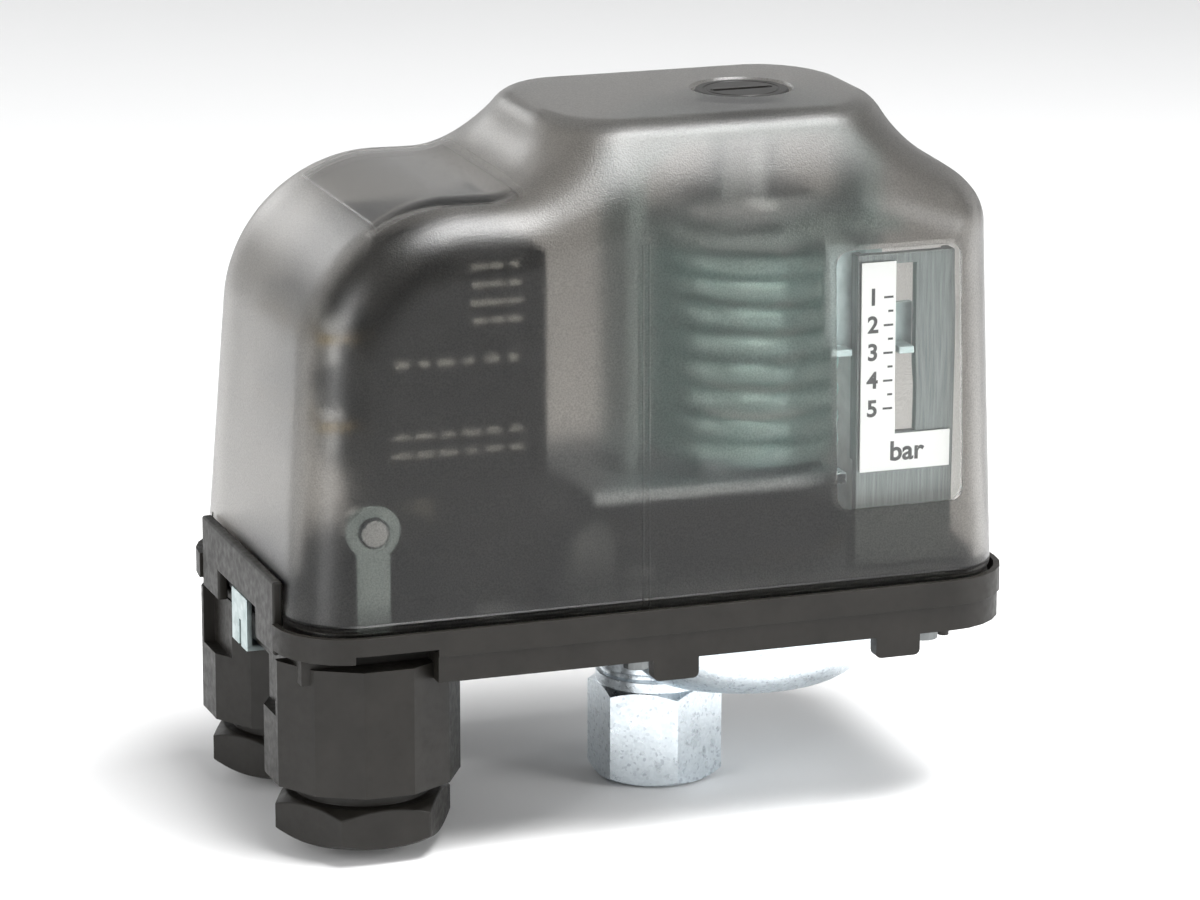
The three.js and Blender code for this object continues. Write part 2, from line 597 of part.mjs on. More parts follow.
// ---- lever and spring ---------------------------------------------------------------------
function makeRocker() {
  const r = ROCKER;
  const middle = (r.low + r.high) / 2;
  const radius = (r.high - r.low) / 2;
  const end = [];
  for (let i = 0; i <= r.endSteps; i += 1) {
    const angle = -Math.PI / 2 + Math.PI * i / r.endSteps;
    end.push([r.right - radius + radius * Math.cos(angle), middle + radius * Math.sin(angle)]);
  }
  const outline = [[r.left + r.toe, r.low + r.toe], [r.heel, r.low], [r.archLeft, r.low],
    [r.archLeft + r.archSlope, r.arch], [r.archRight - r.archSlope, r.arch], [r.archRight, r.low],
    ...end, [r.left, r.high], [r.left, r.low + r.toeHigh]];
  return cut(sideways(outline, -r.cheekOut, r.cheekOut),
    box(r.left - OVER, r.right + OVER, -r.cheekIn, r.cheekIn, r.low - OVER, r.webLow),
    box(r.pocketLeft, r.pocketRight, -r.pocketHalf, r.pocketHalf, r.low - OVER, r.high + OVER),
    barAlongY(PIVOT.x, -PIVOT.reach, PIVOT.reach, PIVOT.z, PIVOT.pin + PIVOT.play));
}

const makeRockerPin = () => join(
  barAlongY(PIVOT.x, PIVOT.pinFront, PIVOT.pinBack, PIVOT.z, PIVOT.pin - PIVOT.tight),
  barAlongY(PIVOT.x, PIVOT.headFront, PIVOT.headBack, PIVOT.z, PIVOT.head));

function makeSpringSeat() {
  const s = SEAT;
  const y = YOKE;
  const plate = join(box(s.left, s.right, -s.half, s.half, s.low, s.high),
    bar(SPRING_X, 0, ROCKER.high + GAP, s.low + WELD, s.boss),
    ring(SPRING_X, 0, s.guideInner, s.guideOuter, s.high - s.guideSink, s.high + s.guideRise));
  return cut(plate, box(y.left - y.room, y.left + y.thick + y.room, -y.half - y.room, y.half + y.room,
    s.low - OVER, s.high + OVER));
}

function makePointerPlate() {
  const p = PLATE;
  const a = ARM;
  const low = SCALE.pointer - a.halfThick;
  const high = SCALE.pointer + a.halfThick;
  const disc = bar(SPRING_X, 0, p.low, p.high, p.radius, FINE);
  const guide = cut(box(a.guideLeft, a.guideRight, -a.guideHalf, a.guideHalf, p.low, p.high),
    box(a.forkLeft, a.guideRight + OVER, -a.forkHalf, a.forkHalf, p.low - OVER, p.high + OVER));
  const arm = box(a.left, a.right, a.front, a.back, p.low, p.high);
  const leg = box(a.left, a.right, a.front, a.legBack, low, p.high);
  const foot = box(a.left, a.footRight, a.front, a.legBack, low, SCALE.pointer + a.footRise);
  const tab = box(SCALE.slotLeft + a.tabPlay, SCALE.slotRight - a.tabPlay, a.tabFront, a.legBack, low, high);
  const mark = box(a.left, a.markRight, a.markFront, a.legBack, low, high);
  return cut(join(disc, guide, arm, leg, foot, tab, mark),
    bar(SPRING_X, 0, p.low - OVER, p.high + OVER, NUT.bore));
}

function makeAdjustingNut() {
  const n = NUT;
  return cut(hexagon(SPRING_X, 0, n.low, n.high, n.across, 0, true, true),
    bar(SPRING_X, 0, n.low - OVER, n.high + OVER, n.bore));
}

const makeTieRod = () => cut(
  join(bar(SPRING_X, 0, ROD.low, ROD.shoulder, ROD.radius),
    bar(SPRING_X, 0, ROD.shoulder - OVER, ROD.top, ROD.neck)),
  bar(SPRING_X, 0, ROD.boreEnd, ROD.top + OVER, ROD.bore, ROD.boreSides));

function makeYoke() {
  const y = YOKE;
  const t = y.thick;
  const topLeft = y.left + (y.right - y.topRight);
  const outer = [[y.left, y.low], [y.right, y.low], [y.right, y.shoulder], [y.topRight, y.top],
    [topLeft, y.top], [y.left, y.shoulder]];
  const inner = [[y.left + t, y.low - OVER], [y.right - t, y.low - OVER],
    [y.right - t, y.shoulder - y.bendUp], [y.topRight - y.bendAcross, y.top - t],
    [topLeft + y.bendAcross, y.top - t], [y.left + t, y.shoulder - y.bendUp]];
  const strap = cut(sideways(outer, -y.half, y.half), sideways(inner, -y.half - OVER, y.half + OVER));
  const feet = join(box(y.footLeft, y.left + OVER, -y.half, y.half, y.low, y.low + y.footThick),
    box(y.right - OVER, y.footRight, -y.half, y.half, y.low, y.low + y.footThick));
  return cut(join(strap, feet), bar(SPRING_X, 0, y.top - t - OVER, y.top + OVER, ROD.neck + GAP),
    ...yokeScrewHoles());
}

// A slotted screw with a flat round head that rests on the level seat and ends at the level end.
function makePanScrew(x, y, seat, end, { head, shank } = PAN_SCREW) {
  const p = PAN_SCREW;
  return cut(join(bar(x, y, seat, seat + p.height, head, HEAD_SIDES),
    bar(x, y, end, seat + WELD, shank, COARSE)),
  box(x - head - OVER, x + head + OVER, y - p.slotHalf, y + p.slotHalf, seat + p.slotLow, seat + p.above));
}

// ---- scale --------------------------------------------------------------------------------
function makeScaleFrame() {
  const s = SCALE;
  const back = s.front + s.thick;
  const plate = box(s.left, s.right, s.front, back, s.low, s.high);
  const lips = join(box(s.left, s.left + s.lip, s.front, back + s.lipDepth, s.lipLow, s.high),
    box(s.right - s.lip, s.right, s.front, back + s.lipDepth, s.lipLow, s.high));
  const foot = box(s.footLeft, SPRING_X + BEARING.half, s.front, s.footBack, s.low, s.low + s.thick);
  return cut(join(plate, lips, foot),
    box(s.slotLeft, s.slotRight, s.front - OVER, back + OVER, s.slotLow, s.slotHigh), ...flangeHoles());
}

function makeScaleLabel() {
  const s = SCALE;
  const outline = [[s.labelLeft, s.labelLow], [s.labelRight, s.labelLow], [s.labelRight, s.labelStep],
    [s.labelEdge, s.labelStep], [s.labelEdge, s.labelHigh], [s.labelLeft, s.labelHigh]];
  return sideways(outline, s.front - GAP - s.labelThick, s.front - GAP);
}

// ---- contact block ------------------------------------------------------------------------
// The strips of one pole, or the room they need in the block when they are made larger by grow.
const terminalRoom = (y, grow) => {
  const c = CONTACT;
  const sides = [y - c.half - grow, y + c.half + grow];
  const line = [c.strip - grow, c.strip + c.thick + grow];
  const load = [c.upper - grow, c.upper + c.thick + grow];
  return {
    line: box(c.left - grow, c.lineRight + grow, ...sides, ...line),
    load: join(
      box(c.loadLeft - grow, c.loadRight + grow, ...sides, ...line),
      box(c.riser - grow, c.loadRight + grow, ...sides, line[0], load[1]),
      box(c.left - grow, c.loadRight + grow, ...sides, ...load)),
  };
};

function makeContactBlock() {
  const b = BLOCK;
  const foot = BASE.floor + GAP;
  const outline = [[b.left, b.low], [b.right, b.low], [b.right, b.high], [b.left + b.chamfer, b.high],
    [b.left, b.high - b.chamfer]];
  const pieces = [sideways(outline, -b.half, b.half)];
  const cuts = [box(b.roomLeft, b.roomRight, -b.roomHalf, b.roomHalf, b.roomLow, b.roomHigh)];
  for (const side of [-1, 1]) {
    pieces.push(box(b.legLeft, b.legRight, ...spanOn(side, b.legNear, b.half), foot, b.low + OVER));
    pieces.push(box(b.legLeft, b.legRight, ...spanOn(side, b.footNear, b.footFar), foot, b.footHigh));
    cuts.push(bar(b.screwX, side * b.screwY, foot - OVER, b.footHigh + OVER, PAN_SCREW.shank + GAP, COARSE));
  }
  for (const y of CONTACT.poles) {
    const room = terminalRoom(y, GAP);
    cuts.push(room.line, room.load);
  }
  return cut(join(...pieces), ...cuts);
}

function makeCarrier() {
  const c = CARRIER;
  const x = CONTACT.x;
  return join(box(x - c.half, x + c.half, -c.halfWidth, c.halfWidth, ROCKER.high + GAP, c.top),
    ...CONTACT.poles.map((y) => bar(x, y, c.top - WELD, c.pinTop, c.pin, COARSE)));
}

function makeBridge(y) {
  const b = BRIDGE;
  const strip = box(b.left, b.right, y - b.half, y + b.half, b.low, b.high);
  const buttons = b.buttons.map((x) => bar(x, y, b.high - WELD, b.buttonTop, b.button, COARSE));
  return cut(join(strip, ...buttons), bar(CONTACT.x, y, b.low - OVER, b.high + OVER, b.hole, COARSE));
}

function makeTerminal(y, kind) {
  const z = kind === 'line' ? CONTACT.strip : CONTACT.upper;
  return cut(terminalRoom(y, 0)[kind],
    bar(TERMINAL_SCREW.x, y, z - OVER, z + CONTACT.thick + OVER, TERMINAL_SCREW.hole, COARSE));
}

const makeTerminalScrew = (y, z) => makePanScrew(TERMINAL_SCREW.x, y, z + CONTACT.thick + GAP,
  z - TERMINAL_SCREW.below, TERMINAL_SCREW);

function makeEarthBracket() {
  const e = EARTH;
  const plate = join(box(e.x - e.foot, e.x + e.foot, e.outer, e.inner, BASE.floor + GAP, e.z),
    barAlongY(e.x, e.outer, e.inner, e.z, e.half));
  return cut(plate, barAlongY(e.x, e.outer - OVER, e.inner + OVER, e.z, e.hole, COARSE));
}

function makeEarthScrew() {
  const e = EARTH;
  const s = EARTH_SCREW;
  return cut(
    join(barAlongY(e.x, e.inner + GAP, s.headBack, e.z, s.head, HEAD_SIDES),
      barAlongY(e.x, s.front, s.weldTo, e.z, s.shank, COARSE)),
    box(e.x - s.slotLength, e.x + s.slotLength, s.slotFrom, s.headBack + OVER,
      e.z - s.slotHalf, e.z + s.slotHalf));
}

// ---- assembly -----------------------------------------------------------------------------
const group = new THREE.Group();

function add(name, solid, look) {
  const mesh = new THREE.Mesh(toGeometry(solid), look);
  mesh.name = name;
  group.add(mesh);
}

add('base', makeBase(), blackPlastic);
add('cover', makeCover(), smokyPlastic);
add('cover_seal', makeCoverSeal(), rubber);
add('cover_screw', makeCoverScrew(), blackPlastic);
add('cover_screw_ring', makeCoverScrewRing(), rubber);
add('retaining_plate', makeRetainingPlate(), blackPlastic);
add('plate_clip', makePlateClip(), zinc);

for (const [end, side] of [['front', -1], ['rear', 1]]) {
  add(`gland_screw_${end}`, makeGlandScrew(side), blackPlastic);
  add(`gland_washer_${end}`, makeGlandWasher(side), zinc);
  add(`gland_seal_${end}`, makeGlandSeal(side), rubber);
}

add('pressure_port', makePort(), zinc);
add('diaphragm_housing', makeDiaphragmHousing(), zinc);
add('diaphragm', makeDiaphragm(), rubber);
add('bearing_plate', makeBearingPlate(), zinc);
flangePlaces.forEach((place, i) => add(`housing_screw_${i + 1}`, makeFlangeScrew(place), zinc));
add('piston', makePiston(), brass);

add('rocker_lever', makeRocker(), blackPlastic);
add('rocker_pin', makeRockerPin(), zinc);
add('spring_seat', makeSpringSeat(), zinc);
add('main_spring', coil(SPRING_X, 0, SPRING), zinc);
add('pointer_plate', makePointerPlate(), zinc);
add('adjusting_nut', makeAdjustingNut(), zinc);
add('tie_rod', makeTieRod(), zinc);
add('yoke', makeYoke(), zinc);
['left', 'right'].forEach((end, i) => add(`yoke_screw_${end}`, makePanScrew(YOKE.screws[i], 0,
  YOKE.low + YOKE.footThick + GAP, BEARING.low + YOKE.screwTip), zinc));
add('scale_frame', makeScaleFrame(), zinc);
add('scale_label', makeScaleLabel(), white);

add('contact_block', makeContactBlock(), blackPlastic);
add('contact_carrier', makeCarrier(), white);
CONTACT.poles.forEach((y, i) => {
  add(`contact_bridge_${i + 1}`, makeBridge(y), copper);
  add(`line_terminal_${i + 1}`, makeTerminal(y, 'line'), brass);
  add(`load_terminal_${i + 1}`, makeTerminal(y, 'load'), brass);
  add(`line_screw_${i + 1}`, makeTerminalScrew(y, CONTACT.strip), zinc);
  add(`load_screw_${i + 1}`, makeTerminalScrew(y, CONTACT.upper), zinc);
});
CONTACT_SPRING.places.forEach((y, i) => add(`contact_spring_${i + 1}`,
  coil(CONTACT.x, y, CONTACT_SPRING), zinc));
[-1, 1].forEach((side, i) => add(`block_screw_${i + 1}`, makePanScrew(BLOCK.screwX, side * BLOCK.screwY,
  BLOCK.footHigh + GAP, BASE.floor + GAP), zinc));
add('earth_bracket', makeEarthBracket(), zinc);
add('earth_screw', makeEarthScrew(), zinc);

export default group;
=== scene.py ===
# %% [markdown]
# # A pressure switch with a frosted cover
# A pressure switch turns electric contacts on and off when the pressure of air or oil passes a set value.
# The CAD model is the fixed frame: it holds the sizes, the bodies and the joints. This file gives that frame its
# visible surfaces. First the frame is loaded and measured, because every piece is placed by it.

# %% Load the frame
import json
import math

import bmesh
import bpy
import numpy as np
from mathutils import Matrix, Vector


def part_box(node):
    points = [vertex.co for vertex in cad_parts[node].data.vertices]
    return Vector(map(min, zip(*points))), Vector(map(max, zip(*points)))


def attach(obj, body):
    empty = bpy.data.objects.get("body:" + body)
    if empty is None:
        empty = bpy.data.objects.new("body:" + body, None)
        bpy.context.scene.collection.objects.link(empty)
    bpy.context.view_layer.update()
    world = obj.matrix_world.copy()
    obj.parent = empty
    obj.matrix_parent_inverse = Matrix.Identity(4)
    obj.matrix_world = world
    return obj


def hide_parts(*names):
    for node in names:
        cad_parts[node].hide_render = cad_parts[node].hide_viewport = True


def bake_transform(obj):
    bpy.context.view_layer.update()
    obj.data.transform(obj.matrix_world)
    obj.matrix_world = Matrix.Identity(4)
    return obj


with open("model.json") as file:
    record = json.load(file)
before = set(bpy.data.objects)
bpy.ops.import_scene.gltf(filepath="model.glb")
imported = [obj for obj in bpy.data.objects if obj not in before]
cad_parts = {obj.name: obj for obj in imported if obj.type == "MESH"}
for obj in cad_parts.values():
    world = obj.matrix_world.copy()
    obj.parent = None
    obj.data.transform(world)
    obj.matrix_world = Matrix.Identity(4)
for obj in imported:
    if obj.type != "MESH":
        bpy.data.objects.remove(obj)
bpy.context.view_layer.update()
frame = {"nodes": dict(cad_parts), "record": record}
nodes = frame["nodes"]
body_of_node = {n: b for b, members in frame["record"]["behaviour"]["bodies"].items() for n in members}
slot_of_node = {s["node"]: s["material_slot"] for s in frame["record"]["subparts"]}

# %% [markdown]
# ## Camera, floor and light
# A long lens keeps the upright edges nearly parallel, so the camera stands 0.75 m away with a 166 mm lens. It sees
# the front and the left end from a little above. The floor and the room are plain and pale. Two large soft lamps
# do the work: wide lamps give long soft reflections on plastic, and they find their way through a frosted wall.

# %% Camera, floor and light
MM = 0.001
EYE = Vector((-0.2574, -0.7152, 0.2495))
AIM = Vector((-0.00828, 0.0, 0.04836))

camera = bpy.data.objects.new("camera", bpy.data.cameras.new("camera"))
bpy.context.scene.collection.objects.link(camera)
camera.location = EYE
camera.rotation_euler = (AIM - EYE).to_track_quat("-Z", "Y").to_euler()
camera.data.lens = 165.8
camera.data.sensor_width = 36
bpy.context.scene.camera = camera
bpy.context.scene.view_settings.view_transform = "Standard"


def lamp(name, place, aim, size, watts, tint=(1, 1, 1)):
    """A soft rectangular lamp at a place, in metres, turned to a point."""
    light = bpy.data.lights.new(name, "AREA")
    light.shape, light.size, light.size_y = "RECTANGLE", size[0], size[1]
    light.energy, light.color = watts, tint
    obj = bpy.data.objects.new(name, light)
    bpy.context.scene.collection.objects.link(obj)
    obj.location = place
    obj.rotation_euler = (Vector(aim) - Vector(place)).to_track_quat("-Z", "Y").to_euler()
    return obj


lamp("lamp_above", (0.12, -0.16, 0.62), (0, 0, 0.06), (0.42, 0.26), 8)
lamp("lamp_left", (-0.60, -0.32, 0.22), (0, 0, 0.06), (0.2, 0.45), 2.8)
lamp("lamp_right", (0.50, -0.50, 0.25), (0, 0, 0.05), (0.35, 0.35), 2.8)
lamp("lamp_behind", (-0.30, 0.75, 0.34), (0, 0, 0.07), (0.35, 0.25), 0.8)

world = bpy.data.worlds.new("room")
bpy.context.scene.world = world
world.use_nodes = True
world.node_tree.nodes["Background"].inputs["Color"].default_value = (0.95, 0.96, 0.97, 1)
world.node_tree.nodes["Background"].inputs["Strength"].default_value = 0.42
print("camera is", round((AIM - EYE).length, 3), "m from its aim")

# %% [markdown]
# ## Helpers for meshes
# A piece can be typed in as points and faces, turned from a profile like work on a lathe, or pushed up from an
# outline. All three are short functions here, and sizes are in millimetres, because that is how such a part is
# drawn. Blender works in metres, so the helper that makes the object does the change in one place.

# %% Helpers for meshes
def new_piece(name, points, faces):
    """A mesh object from points in millimetres."""
    mesh = bpy.data.meshes.new(name)
    mesh.from_pydata([tuple(c * MM for c in p) for p in points], [], faces)
    obj = bpy.data.objects.new(name, mesh)
    bpy.context.scene.collection.objects.link(obj)
    return obj


def turned(name, profile, centre, steps=72):
    """Turns a closed profile of (radius, z) about the upright axis through centre. A radius of 0 is on the axis."""
    points, rows = [], []
    for radius, z in profile:
        if radius == 0:
            rows.append([len(points)] * steps)
            points.append((centre[0], centre[1], z))
            continue
        rows.append(list(range(len(points), len(points) + steps)))
        for k in range(steps):
            angle = 2 * math.pi * k / steps
            points.append((centre[0] + radius * math.cos(angle), centre[1] + radius * math.sin(angle), z))
    faces = []
    for low, high in zip(rows, rows[1:] + rows[:1]):
        for k in range(steps):
            corners = [low[k], low[(k + 1) % steps], high[(k + 1) % steps], high[k]]
            corners = list(dict.fromkeys(corners))
            if len(corners) > 2:
                faces.append(corners)
    return outward(new_piece(name, points, faces))


def pushed_up(name, outline, z0, z1):
    """A prism: an outline of (x, y) from z0 to z1."""
    count = len(outline)
    points = [(x, y, z) for z in (z0, z1) for x, y in outline]
    faces = [list(range(count))[::-1], list(range(count, 2 * count))]
    faces += [[i, (i + 1) % count, count + (i + 1) % count, count + i] for i in range(count)]
    return outward(new_piece(name, points, faces))


def rounded_outline(x0, x1, y0, y1, radius, steps=12):
    """A rectangle with round corners, as a list of (x, y)."""
    outline = []
    corners = [(x1 - radius, y0 + radius, -90), (x1 - radius, y1 - radius, 0),
               (x0 + radius, y1 - radius, 90), (x0 + radius, y0 + radius, 180)]
    for cx, cy, start in corners:
        for k in range(steps + 1):
            angle = math.radians(start + 90 * k / steps)
            outline.append((cx + radius * math.cos(angle), cy + radius * math.sin(angle)))
    return outline


def ring_outline(x, y, radius, sides, turn=0.0):
    """A regular outline with the given number of sides; turn is the first corner's angle in degrees."""
    angles = [math.radians(turn + 360 * k / sides) for k in range(sides)]
    return [(x + radius * math.cos(a), y + radius * math.sin(a)) for a in angles]


def block(name, low, high):
    """A plain box between two corners, used to cut with."""
    return pushed_up(name, [(low[0], low[1]), (high[0], low[1]), (high[0], high[1]), (low[0], high[1])],
                     low[2], high[2])


def outward(obj):
    """Turns every face of a closed mesh to the outside."""
    work = bmesh.new()
    work.from_mesh(obj.data)
    bmesh.ops.remove_doubles(work, verts=work.verts, dist=1e-7)
    bmesh.ops.recalc_face_normals(work, faces=work.faces)
    work.to_mesh(obj.data)
    work.free()
    return obj


def settled(obj):
    """Replaces an object's mesh by what its modifiers make of it."""
    bpy.context.view_layer.update()
    plain = bpy.data.meshes.new_from_object(obj.evaluated_get(bpy.context.evaluated_depsgraph_get()))
    obj.modifiers.clear()
    obj.data = plain
    return obj


def carved(obj, *cutters, mode="DIFFERENCE"):
    """Cuts, joins or intersects an object with others, which are used up."""
    for cutter in cutters:
        step = obj.modifiers.new("carve", "BOOLEAN")
        step.operation, step.solver, step.object = mode, "EXACT", cutter
        settled(obj)
        bpy.data.objects.remove(cutter)
    return obj


def smooth(obj, angle=35):
    """Smooth shading, with the edges sharper than the angle kept."""
    work = bmesh.new()
    work.from_mesh(obj.data)
    for face in work.faces:
        face.smooth = True
    for edge in work.edges:
        sharp = len(edge.link_faces) != 2 or edge.calc_face_angle(0) > math.radians(angle)
        edge.smooth = not sharp
    work.to_mesh(obj.data)
    work.free()
    return obj


def soft_edges(obj, width, steps=2, angle=28):
    """Rounds the edges by a width in millimetres, as moulding and tumbling leave them; flat faces stay flat."""
    work = bmesh.new()
    work.from_mesh(obj.data)
    bmesh.ops.remove_doubles(work, verts=work.verts, dist=2e-6)
    bmesh.ops.dissolve_limit(work, angle_limit=math.radians(1.0), verts=work.verts, edges=work.edges)
    for face in work.faces:
        face.smooth = True
    work.to_mesh(obj.data)
    work.free()
    round_off = obj.modifiers.new("edges", "BEVEL")
    round_off.width, round_off.segments = width * MM, steps
    round_off.limit_method, round_off.angle_limit = "ANGLE", math.radians(angle)
    obj.modifiers.new("even", "WEIGHTED_NORMAL").weight = 80
    return settled(obj)


def on_frame(obj, body, slot, *stands_for):
    """Puts a finished piece on its body and hides the CAD nodes it stands for; the slot is not used."""
    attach(obj, body)
    if stands_for:
        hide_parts(*stands_for)
    return obj


print("mesh helpers are ready")

# %% [markdown]
# ## Finishes
# Each finish is a small node tree on the Principled shader. Plastic gets a fine grain from a noise bump, because
# the mould is eroded by sparks. Zinc gets flecks of slightly different grey from a Voronoi pattern, because the
# plating grows in crystals. All patterns read Object coordinates, so they sit still on a piece.

# %% Helpers for finishes
def finish(name, color, rough, metal=0.0, **sockets):
    """A material with its Principled shader, and the colour, roughness and metalness set on it."""
    material = bpy.data.materials.new(name)
    material.use_nodes = True
    shader = material.node_tree.nodes["Principled BSDF"]
    shader.inputs["Base Color"].default_value = (*color, 1)
    shader.inputs["Roughness"].default_value = rough
    shader.inputs["Metallic"].default_value = metal
    for label, value in sockets.items():
        shader.inputs[label.replace("_", " ")].default_value = value
    return material


def node(material, kind, links=(), **settings):
    """Adds a node; links is a list of (input, socket), and settings are inputs or properties by name."""
    made = material.node_tree.nodes.new(kind)
    for label, value in settings.items():
        if hasattr(made, label):
            setattr(made, label, value)
        else:
            made.inputs[label.replace("_", " ")].default_value = value
    for label, socket in links:
        material.node_tree.links.new(socket, made.inputs[label])
    return made


def feed(material, label, socket):
    """Links a socket to the Principled shader's input."""
    material.node_tree.links.new(socket, material.node_tree.nodes["Principled BSDF"].inputs[label])


def place(material):
    """The piece's own coordinates, in metres."""
    return node(material, "ShaderNodeTexCoord").outputs["Object"]


def ramp(material, socket, stops):
    """A colour ramp with stops of (position, colour)."""
    made = node(material, "ShaderNodeValToRGB", [("Fac", socket)])
    elements = made.color_ramp.elements
    for element, (position, color) in zip(elements, (stops[0], stops[-1])):
        element.position, element.color = position, (*color, 1)
    for position, color in stops[1:-1]:
        elements.new(position).color = (*color, 1)
    return made.outputs["Color"]


def grain(material, scale, strength, depth=0.02, detail=3):
    """A fine even bump; scale is in features per metre and depth is in millimetres."""
    noise = node(material, "ShaderNodeTexNoise", [("Vector", place(material))], Scale=scale, Detail=detail)
    bump = node(material, "ShaderNodeBump", [("Height", noise.outputs["Fac"])], Strength=strength,
                Distance=depth * MM)
    feed(material, "Normal", bump.outputs["Normal"])
    return noise, bump


def maths(material, operation, a, b=0.0, clamp=False):
    """One step of arithmetic on sockets or numbers."""
    made = node(material, "ShaderNodeMath", operation=operation)
    made.use_clamp = clamp
    for socket, value in zip(made.inputs, (a, b)):
        if isinstance(value, bpy.types.NodeSocket):
            material.node_tree.links.new(value, socket)
        else:
            socket.default_value = value
    return made.outputs[0]


def mottled(material, scale, dark, light, low=0.3, high=0.7):
    """Lets the colour drift between two tones in soft patches."""
    noise = node(material, "ShaderNodeTexNoise", [("Vector", place(material))], Scale=scale, Detail=4)
    feed(material, "Base Color", ramp(material, noise.outputs["Fac"], [(low, dark), (high, light)]))


def uneven_gloss(material, scale, low, high):
    """Lets the roughness drift between two values."""
    noise = node(material, "ShaderNodeTexNoise", [("Vector", place(material))], Scale=scale, Detail=5)
    spread = node(material, "ShaderNodeMapRange", [("Value", noise.outputs["Fac"])])
    for label, value in (("From Min", 0.3), ("From Max", 0.7), ("To Min", low), ("To Max", high)):
        spread.inputs[label].default_value = value
    feed(material, "Roughness", spread.outputs["Result"])


def flecked(material, scale, tones):
    """Crystals of slightly different grey, as on galvanised sheet and bright zinc."""
    cells = node(material, "ShaderNodeTexVoronoi", [("Vector", place(material))], Scale=scale)
    gray = node(material, "ShaderNodeSeparateColor", [("Color", cells.outputs["Color"])])
    feed(material, "Base Color", ramp(material, gray.outputs["Red"], tones))


print("finish helpers are ready")

# %% [markdown]
# ## Black plastics, rubber, metals and print
# The case is glass-filled nylon: brownish black, matt, with an eroded grain. The screw, the lever and the switch
# block are smoother. The port and the dish are bright zinc with a cold blue tint and flecks; the sheet parts are
# galvanised.

# %% Plastics, rubber, metals and print
case_black = finish("case_black", (0.010, 0.009, 0.007), 0.48, Specular_IOR_Level=0.28)
mottled(case_black, 180, (0.008, 0.007, 0.0055), (0.013, 0.0115, 0.0095))
uneven_gloss(case_black, 900, 0.38, 0.55)
grain(case_black, 5200, 0.35, 0.03)

satin_black = finish("satin_black", (0.010, 0.009, 0.008), 0.36, Specular_IOR_Level=0.3)
mottled(satin_black, 260, (0.008, 0.008, 0.007), (0.013, 0.012, 0.011))
grain(satin_black, 4200, 0.15, 0.02)

block_black = finish("block_black", (0.009, 0.008, 0.007), 0.5, Specular_IOR_Level=0.3)
mottled(block_black, 150, (0.007, 0.006, 0.005), (0.012, 0.011, 0.009))
grain(block_black, 3500, 0.2, 0.02)

soft_rubber = finish("soft_rubber", (0.018, 0.018, 0.018), 0.82)
mottled(soft_rubber, 400, (0.014, 0.014, 0.014), (0.026, 0.026, 0.025))
grain(soft_rubber, 3800, 0.3, 0.03)

bright_zinc = finish("bright_zinc", (0.66, 0.72, 0.78), 0.3, 1.0)
flecked(bright_zinc, 2600, [(0.0, (0.50, 0.55, 0.60)), (0.12, (0.66, 0.72, 0.76)), (1.0, (0.74, 0.80, 0.84))])
uneven_gloss(bright_zinc, 700, 0.22, 0.42)
grain(bright_zinc, 2600, 0.25, 0.02)

galvanised = finish("galvanised", (0.40, 0.47, 0.47), 0.34, 1.0)
flecked(galvanised, 900, [(0.0, (0.34, 0.41, 0.41)), (0.5, (0.39, 0.46, 0.46)), (1.0, (0.46, 0.53, 0.53))])
uneven_gloss(galvanised, 500, 0.28, 0.48)
grain(galvanised, 1800, 0.15, 0.02)

spring_wire = finish("spring_wire", (0.66, 0.92, 0.90), 0.32, 0.5)
mottled(spring_wire, 500, (0.60, 0.88, 0.86), (0.74, 0.96, 0.94))
grain(spring_wire, 2500, 0.12, 0.02)

passivated = finish("passivated", (0.50, 0.60, 0.60), 0.42, 0.6)
mottled(passivated, 500, (0.44, 0.54, 0.54), (0.58, 0.68, 0.68))
grain(passivated, 2000, 0.15, 0.02)

brushed_sheet = finish("brushed_sheet", (0.15, 0.168, 0.166), 0.38, 1.0)
stretch = node(brushed_sheet, "ShaderNodeMapping", [("Vector", place(brushed_sheet))])
stretch.inputs["Scale"].default_value = (1.0, 1.0, 0.05)
streaks = node(brushed_sheet, "ShaderNodeTexNoise", [("Vector", stretch.outputs["Vector"])], Scale=3000, Detail=3)
feed(brushed_sheet, "Base Color", ramp(brushed_sheet, streaks.outputs["Fac"], [
    (0.35, (0.125, 0.142, 0.14)), (0.65, (0.185, 0.205, 0.20))]))
brush_bump = node(brushed_sheet, "ShaderNodeBump", [("Height", streaks.outputs["Fac"])], Strength=0.12,
                  Distance=0.02 * MM)
feed(brushed_sheet, "Normal", brush_bump.outputs["Normal"])

dull_steel = finish("dull_steel", (0.16, 0.17, 0.17), 0.45, 1.0)
mottled(dull_steel, 300, (0.13, 0.14, 0.14), (0.20, 0.21, 0.21))
grain(dull_steel, 2200, 0.15, 0.02)

screw_zinc = finish("screw_zinc", (0.66, 0.69, 0.71), 0.3, 1.0)
mottled(screw_zinc, 800, (0.58, 0.61, 0.63), (0.74, 0.77, 0.79))
grain(screw_zinc, 3000, 0.15, 0.02)

brass_metal = finish("brass_metal", (0.71, 0.55, 0.28), 0.3, 1.0)
mottled(brass_metal, 600, (0.64, 0.48, 0.23), (0.78, 0.62, 0.34))
grain(brass_metal, 2500, 0.15, 0.02)

copper_metal = finish("copper_metal", (0.72, 0.43, 0.28), 0.34, 1.0)
mottled(copper_metal, 600, (0.64, 0.37, 0.22), (0.78, 0.49, 0.32))
grain(copper_metal, 2500, 0.15, 0.02)

cream_plastic = finish("cream_plastic", (0.62, 0.58, 0.48), 0.45)
mottled(cream_plastic, 250, (0.58, 0.54, 0.44), (0.66, 0.62, 0.52))
grain(cream_plastic, 3500, 0.15, 0.02)

